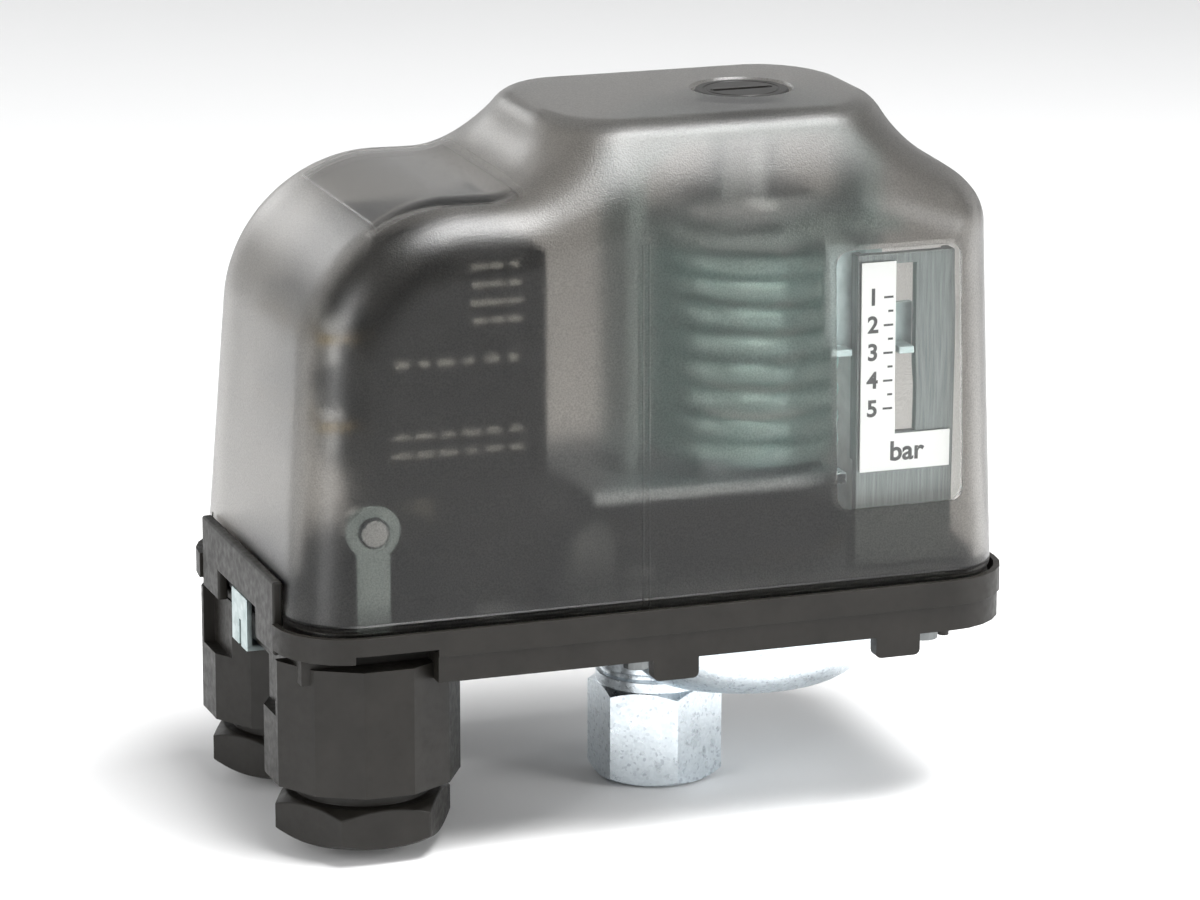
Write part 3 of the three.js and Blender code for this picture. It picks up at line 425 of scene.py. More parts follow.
label_film = finish("label_film", (0.92, 0.92, 0.91), 0.42)
mottled(label_film, 300, (0.91, 0.91, 0.90), (0.93, 0.93, 0.92))
grain(label_film, 2500, 0.08, 0.01)

print_ink = finish("print_ink", (0.03, 0.03, 0.03), 0.5)
mottled(print_ink, 900, (0.025, 0.025, 0.025), (0.04, 0.04, 0.04))

pale_print = finish("pale_print", (0.55, 0.55, 0.52), 0.55)
mottled(pale_print, 1500, (0.45, 0.45, 0.43), (0.62, 0.62, 0.59))

finish_of_slot = {
    "case_plastic": case_black, "screw_plastic": satin_black, "lever_plastic": satin_black,
    "block_plastic": block_black, "rubber": soft_rubber, "zinc_port": bright_zinc, "brass": brass_metal,
    "copper": copper_metal, "label_white": label_film, "carrier_plastic": cream_plastic,
    "spring_steel": spring_wire, "galvanised_steel": galvanised, "zinc_screw": screw_zinc,
}
print("finishes:", len(finish_of_slot))

# %% [markdown]
# ## The frosted cover
# The cover is moulded in smoky polycarbonate. Its skin is frosted, so what lies close behind it shows and what
# lies deeper melts into soft patches. A shader with rough transmission on both sides of a 2 mm wall does this by
# itself. The window and its inner face are polished, and so is a field on the left shoulder.

# %% Finishes of the cover
def near(material, socket, middle, half, soft):
    """1 where a coordinate lies within half of the middle, fading to 0 over soft; all in metres."""
    off = maths(material, "ABSOLUTE", maths(material, "SUBTRACT", socket, middle))
    return maths(material, "DIVIDE", maths(material, "SUBTRACT", half + soft / 2, off), soft, clamp=True)


def frosted_wall(name, coat):
    """Smoky polycarbonate with an eroded grain, the mould's seam and the polished field on the shoulder."""
    wall = finish(name, (0.44, 0.425, 0.405), 0.29, Transmission_Weight=1.0, IOR=1.2, Coat_Weight=coat,
                  Coat_Roughness=0.30, Coat_IOR=1.5)
    at = node(wall, "ShaderNodeSeparateXYZ", [("Vector", place(wall))]).outputs
    speck = node(wall, "ShaderNodeTexNoise", [("Vector", place(wall))], Scale=4200, Detail=2).outputs["Fac"]
    field = maths(wall, "MULTIPLY", near(wall, at["X"], -0.0365, 0.0105, 0.0003),
                  near(wall, at["Y"], -0.002, 0.018, 0.0003))
    field = maths(wall, "MULTIPLY", field, maths(wall, "GREATER_THAN", at["Z"], 0.083))
    feed(wall, "Roughness", maths(wall, "SUBTRACT", 0.29, maths(wall, "MULTIPLY", field, 0.19)))
    lean = maths(wall, "MULTIPLY", maths(wall, "SUBTRACT", at["Z"], 0.0332), 0.0118)
    seam_x = maths(wall, "SUBTRACT", at["X"], lean)
    seams = maths(wall, "ADD", near(wall, seam_x, -0.01185, 0.00008, 0.0002),
                  near(wall, seam_x, -0.01095, 0.00008, 0.0002))
    front = maths(wall, "LESS_THAN", at["Y"], -0.020)
    seams = maths(wall, "MULTIPLY", seams, maths(wall, "MULTIPLY", front, maths(wall, "LESS_THAN", at["Z"], 0.084)))
    tone = maths(wall, "SUBTRACT", speck, maths(wall, "MULTIPLY", seams, 0.22))
    feed(wall, "Base Color", ramp(wall, tone, [(0.33, (0.31, 0.30, 0.285)), (0.50, (0.42, 0.405, 0.385)),
                                               (0.67, (0.54, 0.525, 0.50))]))
    grain_height = maths(wall, "MULTIPLY", speck, maths(wall, "SUBTRACT", 1.0, field))
    height = maths(wall, "ADD", maths(wall, "MULTIPLY", seams, 3.0), grain_height)
    height = maths(wall, "ADD", height, maths(wall, "MULTIPLY", field, 1.2))
    lip = near(wall, at["Z"], 0.0343, 0.00015, 0.0003)
    height = maths(wall, "ADD", height, maths(wall, "MULTIPLY", lip, 6.0))
    bump = node(wall, "ShaderNodeBump", [("Height", height)], Strength=0.8, Distance=0.05 * MM)
    feed(wall, "Normal", bump.outputs["Normal"])
    feed(wall, "Coat Normal", bump.outputs["Normal"])
    return wall


frosted = frosted_wall("frosted", 0.6)
frosted_inside = frosted_wall("frosted_inside", 0.0)
clear_pane = finish("clear_pane", (0.95, 0.96, 0.95), 0.02, Transmission_Weight=1.0, IOR=1.4)
grain(clear_pane, 300, 0.05, 0.01)
print("the cover's finishes are ready")

# %% [markdown]
# ## The cover's form
# The cover is a box with rounded shoulders, and a dome stands on it for the screw. Such soft blends are hard to
# model by hand and easy to write down: a signed distance says how far a point is outside the form, and a rounded
# maximum of two distances gives a rounded edge where they meet. Rays from a point inside then find the surface.

# %% The cover's form
COVER_LEFT, COVER_RIGHT, COVER_HALF = -60.7, 43.2, 28.4
COVER_DATUM, COVER_ROOF, COVER_RIM, COVER_WALL = 32.9, 90.5, 31.8, 2.0
DOME_TOP = 99.35
SPRING_X = 12.8


def rounded_max(a, b, radius):
    """The larger of two distances, with a round of that radius where they meet."""
    overlap = np.hypot(np.maximum(a + radius, 0), np.maximum(b + radius, 0)) - radius
    return np.where((a > -radius) & (b > -radius), overlap, np.maximum(a, b))


def rounded_min(a, b, radius):
    return -rounded_max(-a, -b, radius)


def cover_distance(x, y, z):
    """How far points are outside the cover's outer surface, in millimetres."""
    height = z - COVER_DATUM
    left = COVER_LEFT + 0.071 * height - x
    right = x - (COVER_RIGHT - 0.022 * height)
    side = np.abs(y) - (COVER_HALF - 0.04 * height)
    top = z - (COVER_ROOF - 0.0204 * (x + 30))
    low = np.maximum(rounded_max(left, top, 20.8), rounded_max(right, top, 6.6))
    above = z - COVER_ROOF
    dome_left = (-21.1 + above * 0.05 - x) / math.hypot(1, 0.05)
    dome_right = (x - 31.2 + above * 0.19) / math.hypot(1, 0.19)
    dome_side = (np.abs(y) - 25.6 + above * 0.857) / math.hypot(1, 0.857)
    dome = rounded_max(np.maximum(dome_left, dome_right), dome_side, 10.7)
    dome = rounded_max(dome, z - DOME_TOP, 2.05)
    step = np.clip((z - 66) / 20, 0, 1)
    blend = 10.1 * step * step * (3 - 2 * step) + 0.01
    return rounded_max(rounded_min(low, dome, blend), side, 9.8)


def cover_points(depth, levels, tucks, corner_steps=12, long_steps=44, short_steps=22, roof_steps=84):
    """Rings of points on the surface that lies depth inside the cover: one at each level, pulled in by its
    tuck, then up over the roof to the peak."""
    reach = []
    corners = rounded_outline(COVER_LEFT, COVER_RIGHT, -COVER_HALF, COVER_HALF, 9.8, corner_steps)
    for i, (x, y) in enumerate(corners):
        following = corners[(i + 1) % len(corners)]
        last_of_corner = (i + 1) % (corner_steps + 1) == 0
        steps = 1
        if last_of_corner:
            steps = long_steps if abs(following[0] - x) > 50 else short_steps
        for k in range(steps):
            reach.append((x + (following[0] - x) * k / steps, y + (following[1] - y) * k / steps))
    reach = np.array(reach)
    middle = (COVER_LEFT + COVER_RIGHT) / 2
    origins, directions = [], []
    tucked = []
    for z, tuck in zip(levels, tucks):
        origins.append(np.tile([middle, 0, z], (len(reach), 1)))
        directions.append(np.c_[reach[:, 0] - middle, reach[:, 1], np.zeros(len(reach))])
        tucked.append(np.full(len(reach), tuck))
    for j in range(roof_steps):
        t = j / roof_steps
        spread, rise = min(1, 2 - 2 * t), (DOME_TOP - 70) * min(1, 2 * t)
        origins.append(np.tile([middle, 0, 70.0], (len(reach), 1)))
        directions.append(np.c_[(reach[:, 0] - middle) * spread, reach[:, 1] * spread, np.full(len(reach), rise)])
    origins.append(np.array([[middle, 0, 70.0]]))
    directions.append(np.array([[0, 0, 1.0]]))
    origins, directions = np.concatenate(origins), np.concatenate(directions)
    directions /= np.linalg.norm(directions, axis=1)[:, None]
    wanted = np.full(len(origins), float(depth))
    wanted[:len(reach) * len(levels)] += np.concatenate(tucked)
    near, far = np.zeros(len(origins)), np.full(len(origins), 90.0)
    for _ in range(34):
        half = (near + far) / 2
        p = origins + directions * half[:, None]
        inside = cover_distance(p[:, 0], p[:, 1], p[:, 2]) < -wanted
        near, far = np.where(inside, half, near), np.where(inside, far, half)
    return origins + directions * near[:, None], len(reach)


def skin_faces(first, around, total, turned_in=False):
    """The faces between rings of points, and the fan to the peak."""
    faces = []
    rings = (total - 1) // around
    for j in range(rings):
        for i in range(around):
            a, b = first + j * around + i, first + j * around + (i + 1) % around
            face = [a, b, b + around, a + around] if j + 1 < rings else [a, b, first + total - 1]
            faces.append(face[::-1] if turned_in else face)
    return faces


straight = list(np.linspace(36, 66, 10))
lip = [COVER_RIM, 32.8, 33.3, 33.45, 33.65, 34.0, 34.6]
outer, around = cover_points(0, lip + straight, [0.45, 0.45, 0.45, 0.2, 0.06, 0.0, 0.0] + [0] * len(straight))
inner, _ = cover_points(COVER_WALL, lip + straight, [0] * (len(lip) + len(straight)))
count = len(outer)
faces = skin_faces(0, around, count) + skin_faces(count, around, count, turned_in=True)
faces += [[(i + 1) % around, i, count + i, count + (i + 1) % around] for i in range(around)]
cover = new_piece("cover_shell", np.concatenate([outer, inner]).tolist(), faces)
for material in (frosted, clear_pane, frosted_inside):
    cover.data.materials.append(material)
inner_faces = range(len(skin_faces(0, around, count)), 2 * len(skin_faces(0, around, count)))
for index in inner_faces:
    cover.data.polygons[index].material_index = 2
print("cover:", len(cover.data.polygons), "faces")

# %% [markdown]
# ## Openings in the cover
# Booleans cut the seat of the big screw, its hole, the pocket for the end plate and the window. A cutter's own
# material goes with its faces, so the window's cutter leaves polished faces behind. Its sides lean outward, which
# gives the window the bright bevelled frame that the mould leaves there.

# %% Openings in the cover
WINDOW = {"left": 16.9, "right": 35.8, "low": 44.3, "high": 80.9, "depth": 0.5}
SCREW_SEAT_Z, SCREW_SEAT_RADIUS = 96.4, 7.1


def pane_cutter(name, grow, front, back, lean, radius=2.2):
    """A pane with round corners that follows the leaning front wall; lean widens it towards the outside."""
    w = WINDOW
    points = []
    for depth, extra in ((back, 0.0), (front, lean)):
        outline = rounded_outline(w["left"] - grow - extra, w["right"] + grow + extra,
                                  w["low"] - grow - extra, w["high"] + grow + extra, radius + extra)
        for x, z in outline:
            points.append((x, -(COVER_HALF - 0.04 * (z - COVER_DATUM)) + depth, z))
    n = len(points) // 2
    faces = [list(range(n)), list(range(n, 2 * n))[::-1]]
    faces += [[i, (i + 1) % n, n + (i + 1) % n, n + i] for i in range(n)]
    cutter = outward(new_piece(name, points, faces))
    cutter.data.materials.append(clear_pane)
    return cutter


roof_boss = turned("roof_boss", [(0, 95.9), (9.5, 95.9), (9.5, 98.6), (0, 98.6)], (SPRING_X, 0), 64)
roof_boss.data.materials.append(frosted)
screw_seat = turned("screw_seat", [(0, SCREW_SEAT_Z), (6.8, SCREW_SEAT_Z), (SCREW_SEAT_RADIUS, SCREW_SEAT_Z + 0.3),
                                   (SCREW_SEAT_RADIUS, 99.0), (7.6, 99.6), (7.6, 102), (0, 102)], (SPRING_X, 0), 96)
screw_hole = turned("screw_hole", [(0, 90), (3.2, 90), (3.2, 98), (0, 98)], (SPRING_X, 0), 48)
end_pocket = block("end_pocket", (-70, -18.6, 20), (-60.1, 18.6, 39.2))
for cutter in (screw_seat, screw_hole, end_pocket):
    cutter.data.materials.append(frosted)

carved(cover, roof_boss, mode="UNION")
carved(cover, pane_cutter("pane_outside", 0, -6, WINDOW["depth"], 0.5 * 6 / 6.5),
       pane_cutter("pane_inside", 0.3, COVER_WALL - 0.08, 6, 0), screw_seat, screw_hole, end_pocket)
smooth(cover, 30)
on_frame(cover, "cover", "smoky_plastic", "cover")
print("cover after cutting:", len(cover.data.polygons), "faces")

# %% [markdown]
# ## Pieces whose CAD shape is right
# Most pieces already have their real shape in the CAD model. Real edges are never sharp, though, and a sharp edge
# catches no light. So each of them is copied, its loose triangles are merged into flat faces, and its edges are
# rounded: 0.1 mm on sheet metal, more on moulded plastic.

# %% Round the edges of the CAD pieces
edge_of_slot = {"case_plastic": 0.35, "block_plastic": 0.3, "lever_plastic": 0.5, "screw_plastic": 0.3,
                "rubber": 0.15, "zinc_port": 0.25, "brass": 0.12, "copper": 0.1, "label_white": 0.03,
                "carrier_plastic": 0.2, "spring_steel": 0.05, "galvanised_steel": 0.15, "zinc_screw": 0.15}


special_finish = {"bearing_plate": dull_steel, "rocker_pin": dull_steel, "yoke": passivated,
                  "spring_seat": bright_zinc, "earth_bracket": passivated, "scale_frame": brushed_sheet,
                  "pointer_plate": passivated}
special_finish.update({f"housing_screw_{number}": dull_steel for number in range(1, 5)})


def finished_copy(names, width=None, angle=28):
    """One visible piece for each CAD node, with its edges rounded and its slot's finish."""
    for name in names:
        slot = slot_of_node[name]
        piece = bpy.data.objects.new("fine_" + name, nodes[name].data.copy())
        bpy.context.scene.collection.objects.link(piece)
        piece.data.materials.clear()
        piece.data.materials.append(special_finish.get(name, finish_of_slot[slot]))
        soft_edges(piece, width or edge_of_slot[slot], angle=angle)
        on_frame(piece, body_of_node[name], slot, name)


made_below = {"cover", "main_spring", "contact_spring_1", "contact_spring_2", "scale_label", "pressure_port",
              "diaphragm_housing", "gland_screw_front", "gland_screw_rear", "cover_screw", "cover_screw_ring"}
finished_copy([name for name in nodes if name not in made_below])
print("copied with round edges:", len(nodes) - len(made_below))

# %% [markdown]
# ## Hexagons: the port and the gland screws
# A real hexagon is turned before it is milled, so its corners fade into a cone, and each flat ends in a curve. The
# same two steps make it here: a turned blank, and a hexagon prism that is kept only where both are. The corner's
# angle is the CAD's, so the flats face the same way.

# %% The port, the dish and the gland screws
def hexagon(name, x, y, z0, z1, across, first_corner, low=True, high=True, slope=0.58):
    """A chamfered hexagon bar; across is its spanner size in millimetres."""
    corner = across / math.sqrt(3)
    inner = across / 2 * 0.97
    drop = (corner + 1 - inner) * slope
    blank = [(0, z0), (inner, z0), (corner + 1, z0 + drop)] if low else [(0, z0), (corner + 1, z0)]
    blank += [(corner + 1, z1 - drop), (inner, z1), (0, z1)] if high else [(corner + 1, z1), (0, z1)]
    bar = pushed_up(name, ring_outline(x, y, corner, 6, first_corner), z0, z1)
    return carved(bar, turned("blank", blank, (x, y), 120), mode="INTERSECT")


def bore(x, y, z0, z1, radius, chamfer=0.6):
    """A hole to cut, with a chamfer at its lower mouth."""
    return turned("bore", [(0, z0 - 1), (radius + chamfer + 1, z0 - 1), (radius + chamfer, z0),
                           (radius, z0 + chamfer),
                           (radius, z1), (0, z1)], (x, y), 64)


port = hexagon("port_body", 0, 0, 0, 14, 17, 90)
neck = turned("neck", [(0, 13.5), (8.3, 13.5), (8.5, 14.4), (8.5, 15.4), (7.9, 15.7), (7.9, 16.3), (8.5, 16.6),
                       (8.5, 25.6), (0, 25.6)], (0, 0), 96)
carved(port, neck, mode="UNION")
carved(port, bore(0, 0, 0, 12, 5.75), bore(0, 0, 11, 27, 2.0, 0))
port.data.materials.append(bright_zinc)
soft_edges(port, 0.22, steps=3)
on_frame(port, "case", "zinc_port", "pressure_port")

dish_low, dish_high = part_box("diaphragm_housing")
print("dish in mm:", [round(v / MM, 1) for v in dish_low], [round(v / MM, 1) for v in dish_high])


def bowl_profile(depth, top):
    """The dish's pressed form, depth inside its outer skin."""
    low, radius, corner = 14.4 + depth, 20 - depth, 7 - depth
    arc = [(radius - corner + corner * math.sin(a), low + corner - corner * math.cos(a))
           for a in np.linspace(0, math.pi / 2, 14)]
    return [(0, low)] + arc + [(radius, top), (0, top)]


dish = pushed_up("dish", rounded_outline(SPRING_X - 24.5, SPRING_X + 24.5, -24.5, 24.5, 5, 10), 28.7, 30.7)
carved(dish, turned("bowl", bowl_profile(0, 30.7), (SPRING_X, 0), 128), mode="UNION")
carved(dish, turned("hollow", bowl_profile(2, 31.7), (SPRING_X, 0), 128), bore(0, 0, 10, 20, 2.0, 0))
for number in range(1, 5):
    low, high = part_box(f"housing_screw_{number}")
    middle = (low + high) / 2 / MM
    carved(dish, bore(middle.x, middle.y, 26, 33, 2.3, 0))
dish.data.materials.append(bright_zinc)
soft_edges(dish, 0.4, steps=3)
on_frame(dish, "case", "zinc_port", "diaphragm_housing")

GLAND_X, GLAND_Y = -48.7, 16.1
for end, side in (("front", -1), ("rear", 1)):
    y = side * GLAND_Y
    screw = hexagon("gland_" + end, GLAND_X, y, 1.94, 7.8, 22, 0)
    shank = turned("shank", [(0, 7.0), (9.35, 7.0), (9.35, 15.2), (9.0, 15.5), (0, 15.5)], (GLAND_X, y), 96)
    carved(screw, shank, mode="UNION")
    carved(screw, bore(GLAND_X, y, 1.94, 17, 6.5, 0.9))
    screw.data.materials.append(case_black)
    soft_edges(screw, 0.3, steps=3)
    on_frame(screw, "gland_screw_" + end, "case_plastic", "gland_screw_" + end)
print("the hexagons are made")

# %% [markdown]
# ## The cover's screw
# A wide flat screw with a coin slot closes the cover. Its head sits in a shallow seat, and a fine groove runs
# round it. Under it lies a rubber ring. The head is one turned profile, and the slot is cut with a rounded bar.

# %% The cover's screw and its ring
screw_profile = [(0, 96.9), (6.5, 96.9), (6.7, 97.1), (6.7, 98.85), (6.62, 99.08), (6.4, 99.2), (5.5, 99.2),
                 (5.4, 99.08), (5.15, 99.08), (5.05, 99.2), (0, 99.2)]
big_screw = turned("big_screw", screw_profile, (SPRING_X, 0), 128)
carved(big_screw, turned("stem", [(0, 88), (2.4, 88), (2.8, 88.4), (2.8, 97.5), (0, 97.5)], (SPRING_X, 0), 48),
       mode="UNION")
slot_outline = rounded_outline(SPRING_X - 4.6, SPRING_X + 4.6, -0.75, 0.75, 0.7, 6)
carved(big_screw, pushed_up("coin_slot", slot_outline, 98.2, 101))
big_screw.data.materials.append(satin_black)
soft_edges(big_screw, 0.07)
on_frame(big_screw, "cover_screw", "screw_plastic", "cover_screw")
ring_round = [(4.5 + 1.05 * math.cos(a), 96.65 + 0.15 * math.sin(a))
              for a in np.linspace(0, 2 * math.pi, 20, endpoint=False)]
ring = smooth(turned("screw_ring", ring_round, (SPRING_X, 0), 64), 60)
ring.data.materials.append(soft_rubber)
on_frame(ring, "cover_screw_ring", "rubber", "cover_screw_ring")
print("the cover's screw is made")

# %% [markdown]
# ## One rule for springs and threads
# A spring is a wire along a helix, and a thread is a small ridge along one. So one Geometry Nodes tree makes both.
# It takes a spiral, bends its rise so that the end turns lie flat, sweeps a round or a three-sided section along
# it, and sets the material. Named inputs hold the sizes.

# %% The helix tree
def new_tree(name, floats=(), integers=()):
    """An empty Geometry Nodes tree with named number inputs and one geometry output."""
    tree = bpy.data.node_groups.new(name, "GeometryNodeTree")
    for label in floats:
        tree.interface.new_socket(label, in_out="INPUT", socket_type="NodeSocketFloat")
    for label in integers:
        tree.interface.new_socket(label, in_out="INPUT", socket_type="NodeSocketInt")
    tree.interface.new_socket("Geometry", in_out="OUTPUT", socket_type="NodeSocketGeometry")
    return tree, tree.nodes.new("NodeGroupInput").outputs, tree.nodes.new("NodeGroupOutput").inputs["Geometry"]


def step_in(tree, kind, settings=None, **inputs):
    """Adds a node; an input is a number, or a socket to link from."""
    made = tree.nodes.new(kind)
    for label, value in (settings or {}).items():
        setattr(made, label, value)
    for label, value in inputs.items():
        socket = made.inputs[int(label[1:])] if label[0] == "i" and label[1:].isdigit() else (
            made.inputs[label.replace("_", " ")])
        if isinstance(value, bpy.types.NodeSocket):
            tree.links.new(value, socket)
        else:
            socket.default_value = value
    return made.outputs


def arithmetic(tree, operation, a, b):
    return step_in(tree, "ShaderNodeMath", {"operation": operation}, i0=a, i1=b)["Value"]


def grown(name, tree, material, values):
    """Runs a tree with the given inputs and returns its result as a plain mesh object."""
    holder = bpy.data.objects.new(name, bpy.data.meshes.new(name))
    bpy.context.scene.collection.objects.link(holder)
    rule = holder.modifiers.new("rule", "NODES")
    rule.node_group = tree
    for item in tree.interface.items_tree:
        if item.in_out == "INPUT" and item.name in values:
            rule[item.identifier] = values[item.name]
    settled(holder)
    holder.data.materials.clear()
    holder.data.materials.append(material)
    return holder


helix, given, result = new_tree("helix", ["Radius", "Low", "High", "Turns", "Wire", "Flat"], ["Sides", "Steps"])
spiral = step_in(helix, "GeometryNodeCurveSpiral", Start_Radius=given["Radius"], End_Radius=given["Radius"],
                 Rotations=given["Turns"], Height=0.0, Resolution=given["Steps"])["Curve"]
along = step_in(helix, "GeometryNodeSplineParameter")["Factor"]
rest = arithmetic(helix, "SUBTRACT", 1.0, given["Flat"])
tall = arithmetic(helix, "SUBTRACT", given["High"], given["Low"])
flat_rise = arithmetic(helix, "MULTIPLY", given["Wire"], 1.9)
double_rise = arithmetic(helix, "MULTIPLY", flat_rise, 2.0)
open_rise = arithmetic(helix, "SUBTRACT", tall, double_rise)
first = step_in(helix, "ShaderNodeMapRange", Value=along, From_Min=0.0, From_Max=given["Flat"], To_Min=0.0,
                To_Max=flat_rise)["Result"]
middle = step_in(helix, "ShaderNodeMapRange", Value=along, From_Min=given["Flat"], From_Max=rest, To_Min=0.0,
                 To_Max=open_rise)["Result"]
last = step_in(helix, "ShaderNodeMapRange", Value=along, From_Min=rest, From_Max=1.0, To_Min=0.0,
               To_Max=flat_rise)["Result"]
level = arithmetic(helix, "ADD", arithmetic(helix, "ADD", first, middle),
                   arithmetic(helix, "ADD", last, given["Low"]))
spot = step_in(helix, "ShaderNodeSeparateXYZ", Vector=step_in(helix, "GeometryNodeInputPosition")["Position"])
where = step_in(helix, "ShaderNodeCombineXYZ", X=spot["X"], Y=spot["Y"], Z=level)["Vector"]
raised = step_in(helix, "GeometryNodeSetPosition", Geometry=spiral, Position=where)["Geometry"]
section = step_in(helix, "GeometryNodeCurvePrimitiveCircle", Resolution=given["Sides"], Radius=given["Wire"])["Curve"]
swept = step_in(helix, "GeometryNodeCurveToMesh", Curve=raised, Profile_Curve=section, Fill_Caps=True)["Mesh"]
rounded = step_in(helix, "GeometryNodeSetShadeSmooth", Geometry=swept)["Geometry"]
coloured = step_in(helix, "GeometryNodeSetMaterial", Geometry=step_in(
    helix, "GeometryNodeRealizeInstances", Geometry=rounded)["Geometry"], Material=spring_wire)["Geometry"]
helix.links.new(coloured, result)


def coil(name, centre, radius, low, high, turns, wire, material, flat=0.0, sides=14, steps=40):
    """A spring or a thread ridge about the upright axis through centre; sizes in millimetres."""
    piece = grown(name, helix, material, {
        "Radius": radius * MM, "Low": low * MM, "High": high * MM, "Turns": turns, "Wire": wire * MM,
        "Flat": flat if flat else 1e-4, "Sides": sides, "Steps": int(steps * turns)})
    piece.data.transform(Matrix.Translation((centre[0] * MM, centre[1] * MM, 0)))
    return outward(piece)


# The range spring stands between the case, which holds its lower end, and the plate that presses its upper end.
spring = coil("range_spring", (SPRING_X, 0), 12.4, 47.4 + 0.8, 77.9 - 0.8, 7.5, 1.6, spring_wire, flat=0.12,
              sides=18, steps=48)
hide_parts("main_spring")
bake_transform(spring)
for number in (1, 2):
    low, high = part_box(f"contact_spring_{number}")
    middle = (low + high) / 2 / MM
    wire = 0.35
    small = coil(f"contact_coil_{number}", (middle.x, middle.y), (high.x - low.x) / MM / 2 - wire,
                 low.z / MM + wire, high.z / MM - wire, 6, wire, spring_wire, flat=0.1, sides=8, steps=24)
    on_frame(small, "case", "spring_steel", f"contact_spring_{number}")
print("the range spring has", len(spring.data.polygons), "faces")

# %% [markdown]
# ## Threads
# The same tree makes the threads that can be seen: the coarse ones on the plastic gland screws, the one inside the
# port, and the fine ones on the tie rod and on the cover's screw. A ridge with three sides stands out of the shank.

# %% Threads
thread_list = [
    ("thread_gland_front", (GLAND_X, -GLAND_Y), 9.35, 8.2, 15.2, 4.6, 0.5, case_black, "gland_screw_front",
     "case_plastic"),
    ("thread_gland_rear", (GLAND_X, GLAND_Y), 9.35, 8.2, 15.2, 4.6, 0.5, case_black, "gland_screw_rear",
     "case_plastic"),
    ("thread_port", (0, 0), 5.8, 1.2, 11.5, 7.5, 0.42, bright_zinc, "case", "zinc_port"),
    ("thread_tie_rod", (SPRING_X, 0), 4.9, 61, 92, 31 / 1.5, 0.3, screw_zinc, "case", "zinc_screw"),
    ("thread_cover_screw", (SPRING_X, 0), 2.72, 88.6, 96, 7.4, 0.25, satin_black, "cover_screw", "screw_plastic"),
]
for name, centre, radius, low, high, turns, wire, material, body, slot in thread_list:
    ridge = coil(name, centre, radius, low, high, turns, wire, material, sides=3, steps=36)
    on_frame(ridge, body, slot)
print("threads:", len(thread_list))

# %% [markdown]
# ## The scale
# The label is a white film with an L shape. Its ticks repeat with a rule, so a tree makes them: a line of points
# and one thin bar on each. The numbers and the unit are the only lettering, and they are generic. Text is turned
# into a mesh before it is placed.

# %% The scale's label, ticks and numbers
LABEL_BACK, LABEL_FRONT = -23.9, -24.15       # the white film
PRINT_Y, TICK_Y = -24.17, -24.155              # the lettering and the ticks on it
LABEL_EDGE = 26.2                             # where every tick ends
TICK_Z = {1: 73.5, 2: 69.56, 3: 65.63, 4: 61.61, 5: 57.58}
label_outline = [(21.5, 48.6), (34.9, 48.6), (34.9, 53.8), (26.6, 53.8), (26.6, 78.5), (21.5, 78.5)]


def upright_sheet(name, outline, y0, y1, material):
    """A sheet that stands in XZ: an outline of (x, z) from y0 to y1."""
    count = len(outline)
    points = [(x, y, z) for y in (y0, y1) for x, z in outline]
    faces = [list(range(count)), list(range(count, 2 * count))[::-1]]
    faces += [[i, (i + 1) % count, count + (i + 1) % count, count + i] for i in range(count)]
    sheet = outward(new_piece(name, points, faces))
    sheet.data.materials.append(material)
    return sheet


film = upright_sheet("scale_film", label_outline, LABEL_FRONT, LABEL_BACK, label_film)
soft_edges(film, 0.04)
on_frame(film, "case", "label_white", "scale_label")


def lettering(name, text, x, z, size, y, material):
    """Text that stands in XZ and faces the front, as a mesh, centred on (x, z)."""
    curve = bpy.data.curves.new(name, "FONT")
    curve.body, curve.size, curve.align_x, curve.align_y = text, size * MM, "CENTER", "CENTER"
    curve.extrude = 0.02 * MM
    curve.offset = 0.085 * MM
    writing = bpy.data.objects.new(name, curve)
    bpy.context.scene.collection.objects.link(writing)
    mesh = bpy.data.meshes.new_from_object(writing.evaluated_get(bpy.context.evaluated_depsgraph_get()))
    bpy.data.objects.remove(writing)
    mesh.transform(Matrix.Translation((x * MM, y * MM, z * MM)) @ Matrix.Rotation(math.pi / 2, 4, "X"))
    piece = bpy.data.objects.new(name, mesh)
    bpy.context.scene.collection.objects.link(piece)
    mesh.materials.clear()
    mesh.materials.append(material)
    return piece


for number, z in TICK_Z.items():
    on_frame(lettering(f"scale_number_{number}", str(number), 23.2, z, 3.3, PRINT_Y, print_ink), "case",
             "label_white")
on_frame(lettering("scale_unit", "bar", 28.4, 51.2, 3.9, PRINT_Y, print_ink), "case", "label_white")

ticks_tree, given, result = new_tree("scale_ticks", ["Pitch", "Length", "Thick"], ["Count"])
downwards = step_in(ticks_tree, "ShaderNodeCombineXYZ", X=0.0, Y=0.0, Z=given["Pitch"])["Vector"]
line = step_in(ticks_tree, "GeometryNodeMeshLine", Count=given["Count"], Offset=downwards)["Mesh"]
bar_size = step_in(ticks_tree, "ShaderNodeCombineXYZ", X=given["Length"], Y=0.07 * MM, Z=given["Thick"])["Vector"]
one_bar = step_in(ticks_tree, "GeometryNodeMeshCube", Size=bar_size)["Mesh"]
bars = step_in(ticks_tree, "GeometryNodeInstanceOnPoints", Points=line, Instance=one_bar)["Instances"]
plain = step_in(ticks_tree, "GeometryNodeRealizeInstances", Geometry=bars)["Geometry"]
ticks_tree.links.new(step_in(ticks_tree, "GeometryNodeSetMaterial", Geometry=plain, Material=print_ink)["Geometry"],
                     result)
pitch = (TICK_Z[5] - TICK_Z[1]) / 4
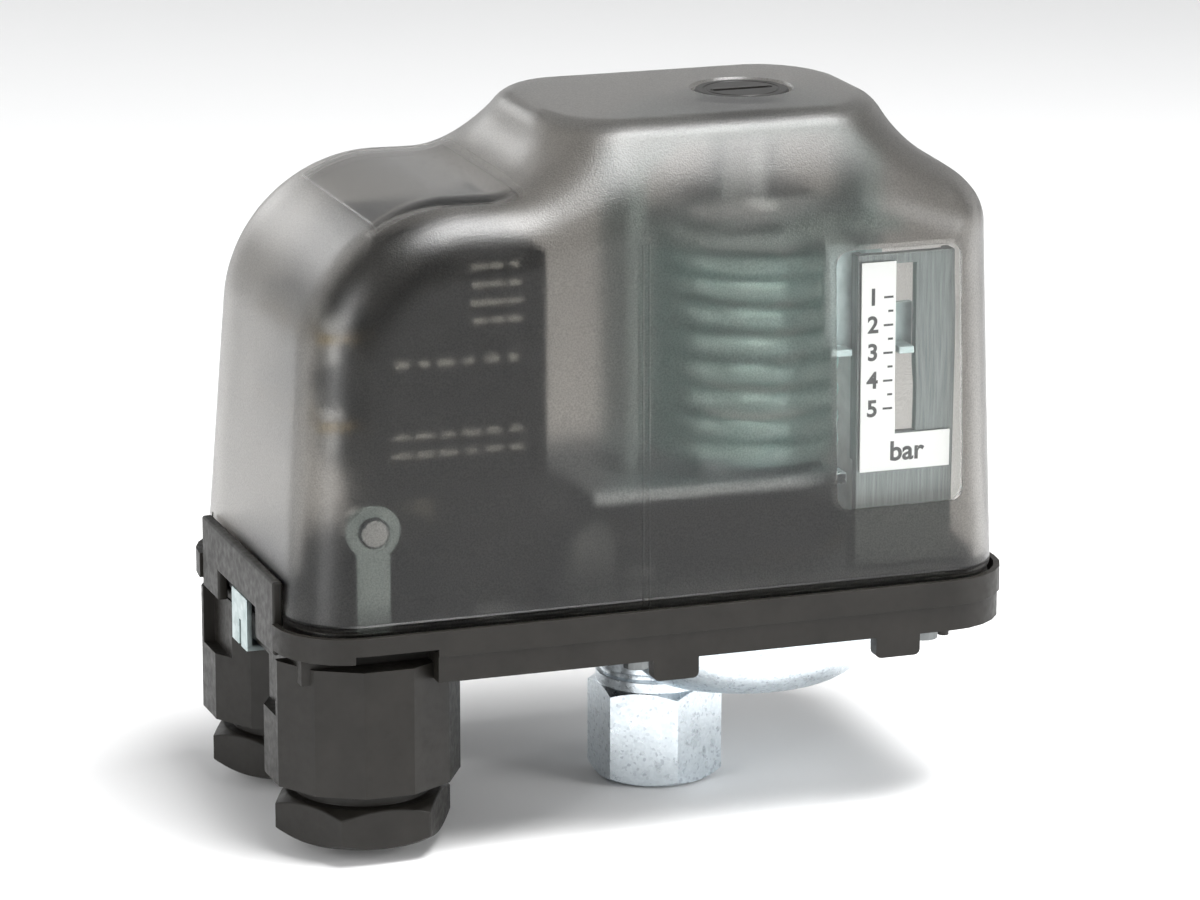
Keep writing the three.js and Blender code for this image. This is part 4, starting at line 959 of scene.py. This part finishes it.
for name, length, top, count in [("long", 1.4, TICK_Z[1], 5), ("short", 0.75, TICK_Z[1] + pitch / 2, 4)]:
    ticks = grown(f"scale_ticks_{name}", ticks_tree, print_ink,
                  {"Pitch": pitch * MM, "Length": length * MM, "Thick": 0.3 * MM, "Count": count})
    ticks.data.transform(Matrix.Translation(((LABEL_EDGE - length / 2) * MM, TICK_Y * MM, top * MM)))
    on_frame(ticks, "case", "label_white")
print("the scale has its ticks")

# %% [markdown]
# ## Print on the switch block
# The real block carries rows of small pale print. Here they are only short bars of different lengths, so they say
# nothing. They repeat with a rule, so a tree makes them: a grid of points, a thin bar on each, and a seeded random
# length.

# %% The print rows' tree
rows_tree, given, result = new_tree("print_rows", ["Width", "Height", "Bar", "Tall"], ["Across", "Down", "Seed"])
grid = step_in(rows_tree, "GeometryNodeMeshGrid", Size_X=given["Width"], Size_Y=given["Height"],
               Vertices_X=given["Across"], Vertices_Y=given["Down"])["Mesh"]
bar_size = step_in(rows_tree, "ShaderNodeCombineXYZ", X=given["Bar"], Y=given["Tall"], Z=0.05 * MM)["Vector"]
one_bar = step_in(rows_tree, "GeometryNodeMeshCube", Size=bar_size)["Mesh"]
length = rows_tree.nodes.new("FunctionNodeRandomValue")
length.data_type = "FLOAT"
length.inputs[2].default_value, length.inputs[3].default_value = 0.45, 1.0
rows_tree.links.new(given["Seed"], length.inputs["Seed"])
scale = step_in(rows_tree, "ShaderNodeCombineXYZ", X=length.outputs[1], Y=1.0, Z=1.0)["Vector"]
bars = step_in(rows_tree, "GeometryNodeInstanceOnPoints", Points=grid, Instance=one_bar, Scale=scale)["Instances"]
plain = step_in(rows_tree, "GeometryNodeRealizeInstances", Geometry=bars)["Geometry"]
rows_tree.links.new(step_in(rows_tree, "GeometryNodeSetMaterial", Geometry=plain, Material=pale_print)["Geometry"],
                    result)

BLOCK_FRONT = -18.02
for number, (x, z, width, height, bar, tall, across, down) in enumerate([
        (-35.0, 56.4, 16.5, 2.6, 2.7, 0.75, 6, 2), (-35.2, 67.8, 16.0, 0.001, 2.6, 0.9, 6, 1),
        (-29.5, 77.0, 5.0, 7.5, 2.6, 0.7, 3, 4)]):
    rows = grown(f"block_print_{number + 1}", rows_tree, pale_print, {
        "Width": width * MM, "Height": height * MM, "Bar": bar * MM, "Tall": tall * MM, "Across": across,
        "Down": down, "Seed": number + 3})
    rows.data.transform(Matrix.Translation((x * MM, BLOCK_FRONT * MM, z * MM)) @ Matrix.Rotation(math.pi / 2, 4, "X"))
    on_frame(rows, "case", "block_plastic")
print("print rows are made")

# %% [markdown]
# ## The floor
# A wide pale sheet that curves up behind keeps the horizon out of the picture.

# %% The floor
floor_points, floor_faces = [], []
FLOOR_Z, CURVE_START, CURVE_RADIUS, HALF_WIDTH = -0.3, 1100, 400, 1800
sweep = [(-1400, FLOOR_Z), (CURVE_START, FLOOR_Z)] + [
    (CURVE_START + CURVE_RADIUS * math.sin(a), FLOOR_Z + CURVE_RADIUS * (1 - math.cos(a)))
    for a in np.linspace(0.1, math.pi / 2, 14)] + [(CURVE_START + CURVE_RADIUS, 1500)]
print("floor rows:", len(sweep))
for y, z in sweep:
    floor_points += [(-HALF_WIDTH, y, z), (HALF_WIDTH, y, z)]
for i in range(len(sweep) - 1):
    floor_faces.append([2 * i, 2 * i + 1, 2 * i + 3, 2 * i + 2])
floor = smooth(new_piece("floor", floor_points, floor_faces), 60)
pale = finish("pale_floor", (0.82, 0.82, 0.82), 0.7)
mottled(pale, 8, (0.815, 0.815, 0.815), (0.825, 0.825, 0.825))
floor.data.materials.append(pale)
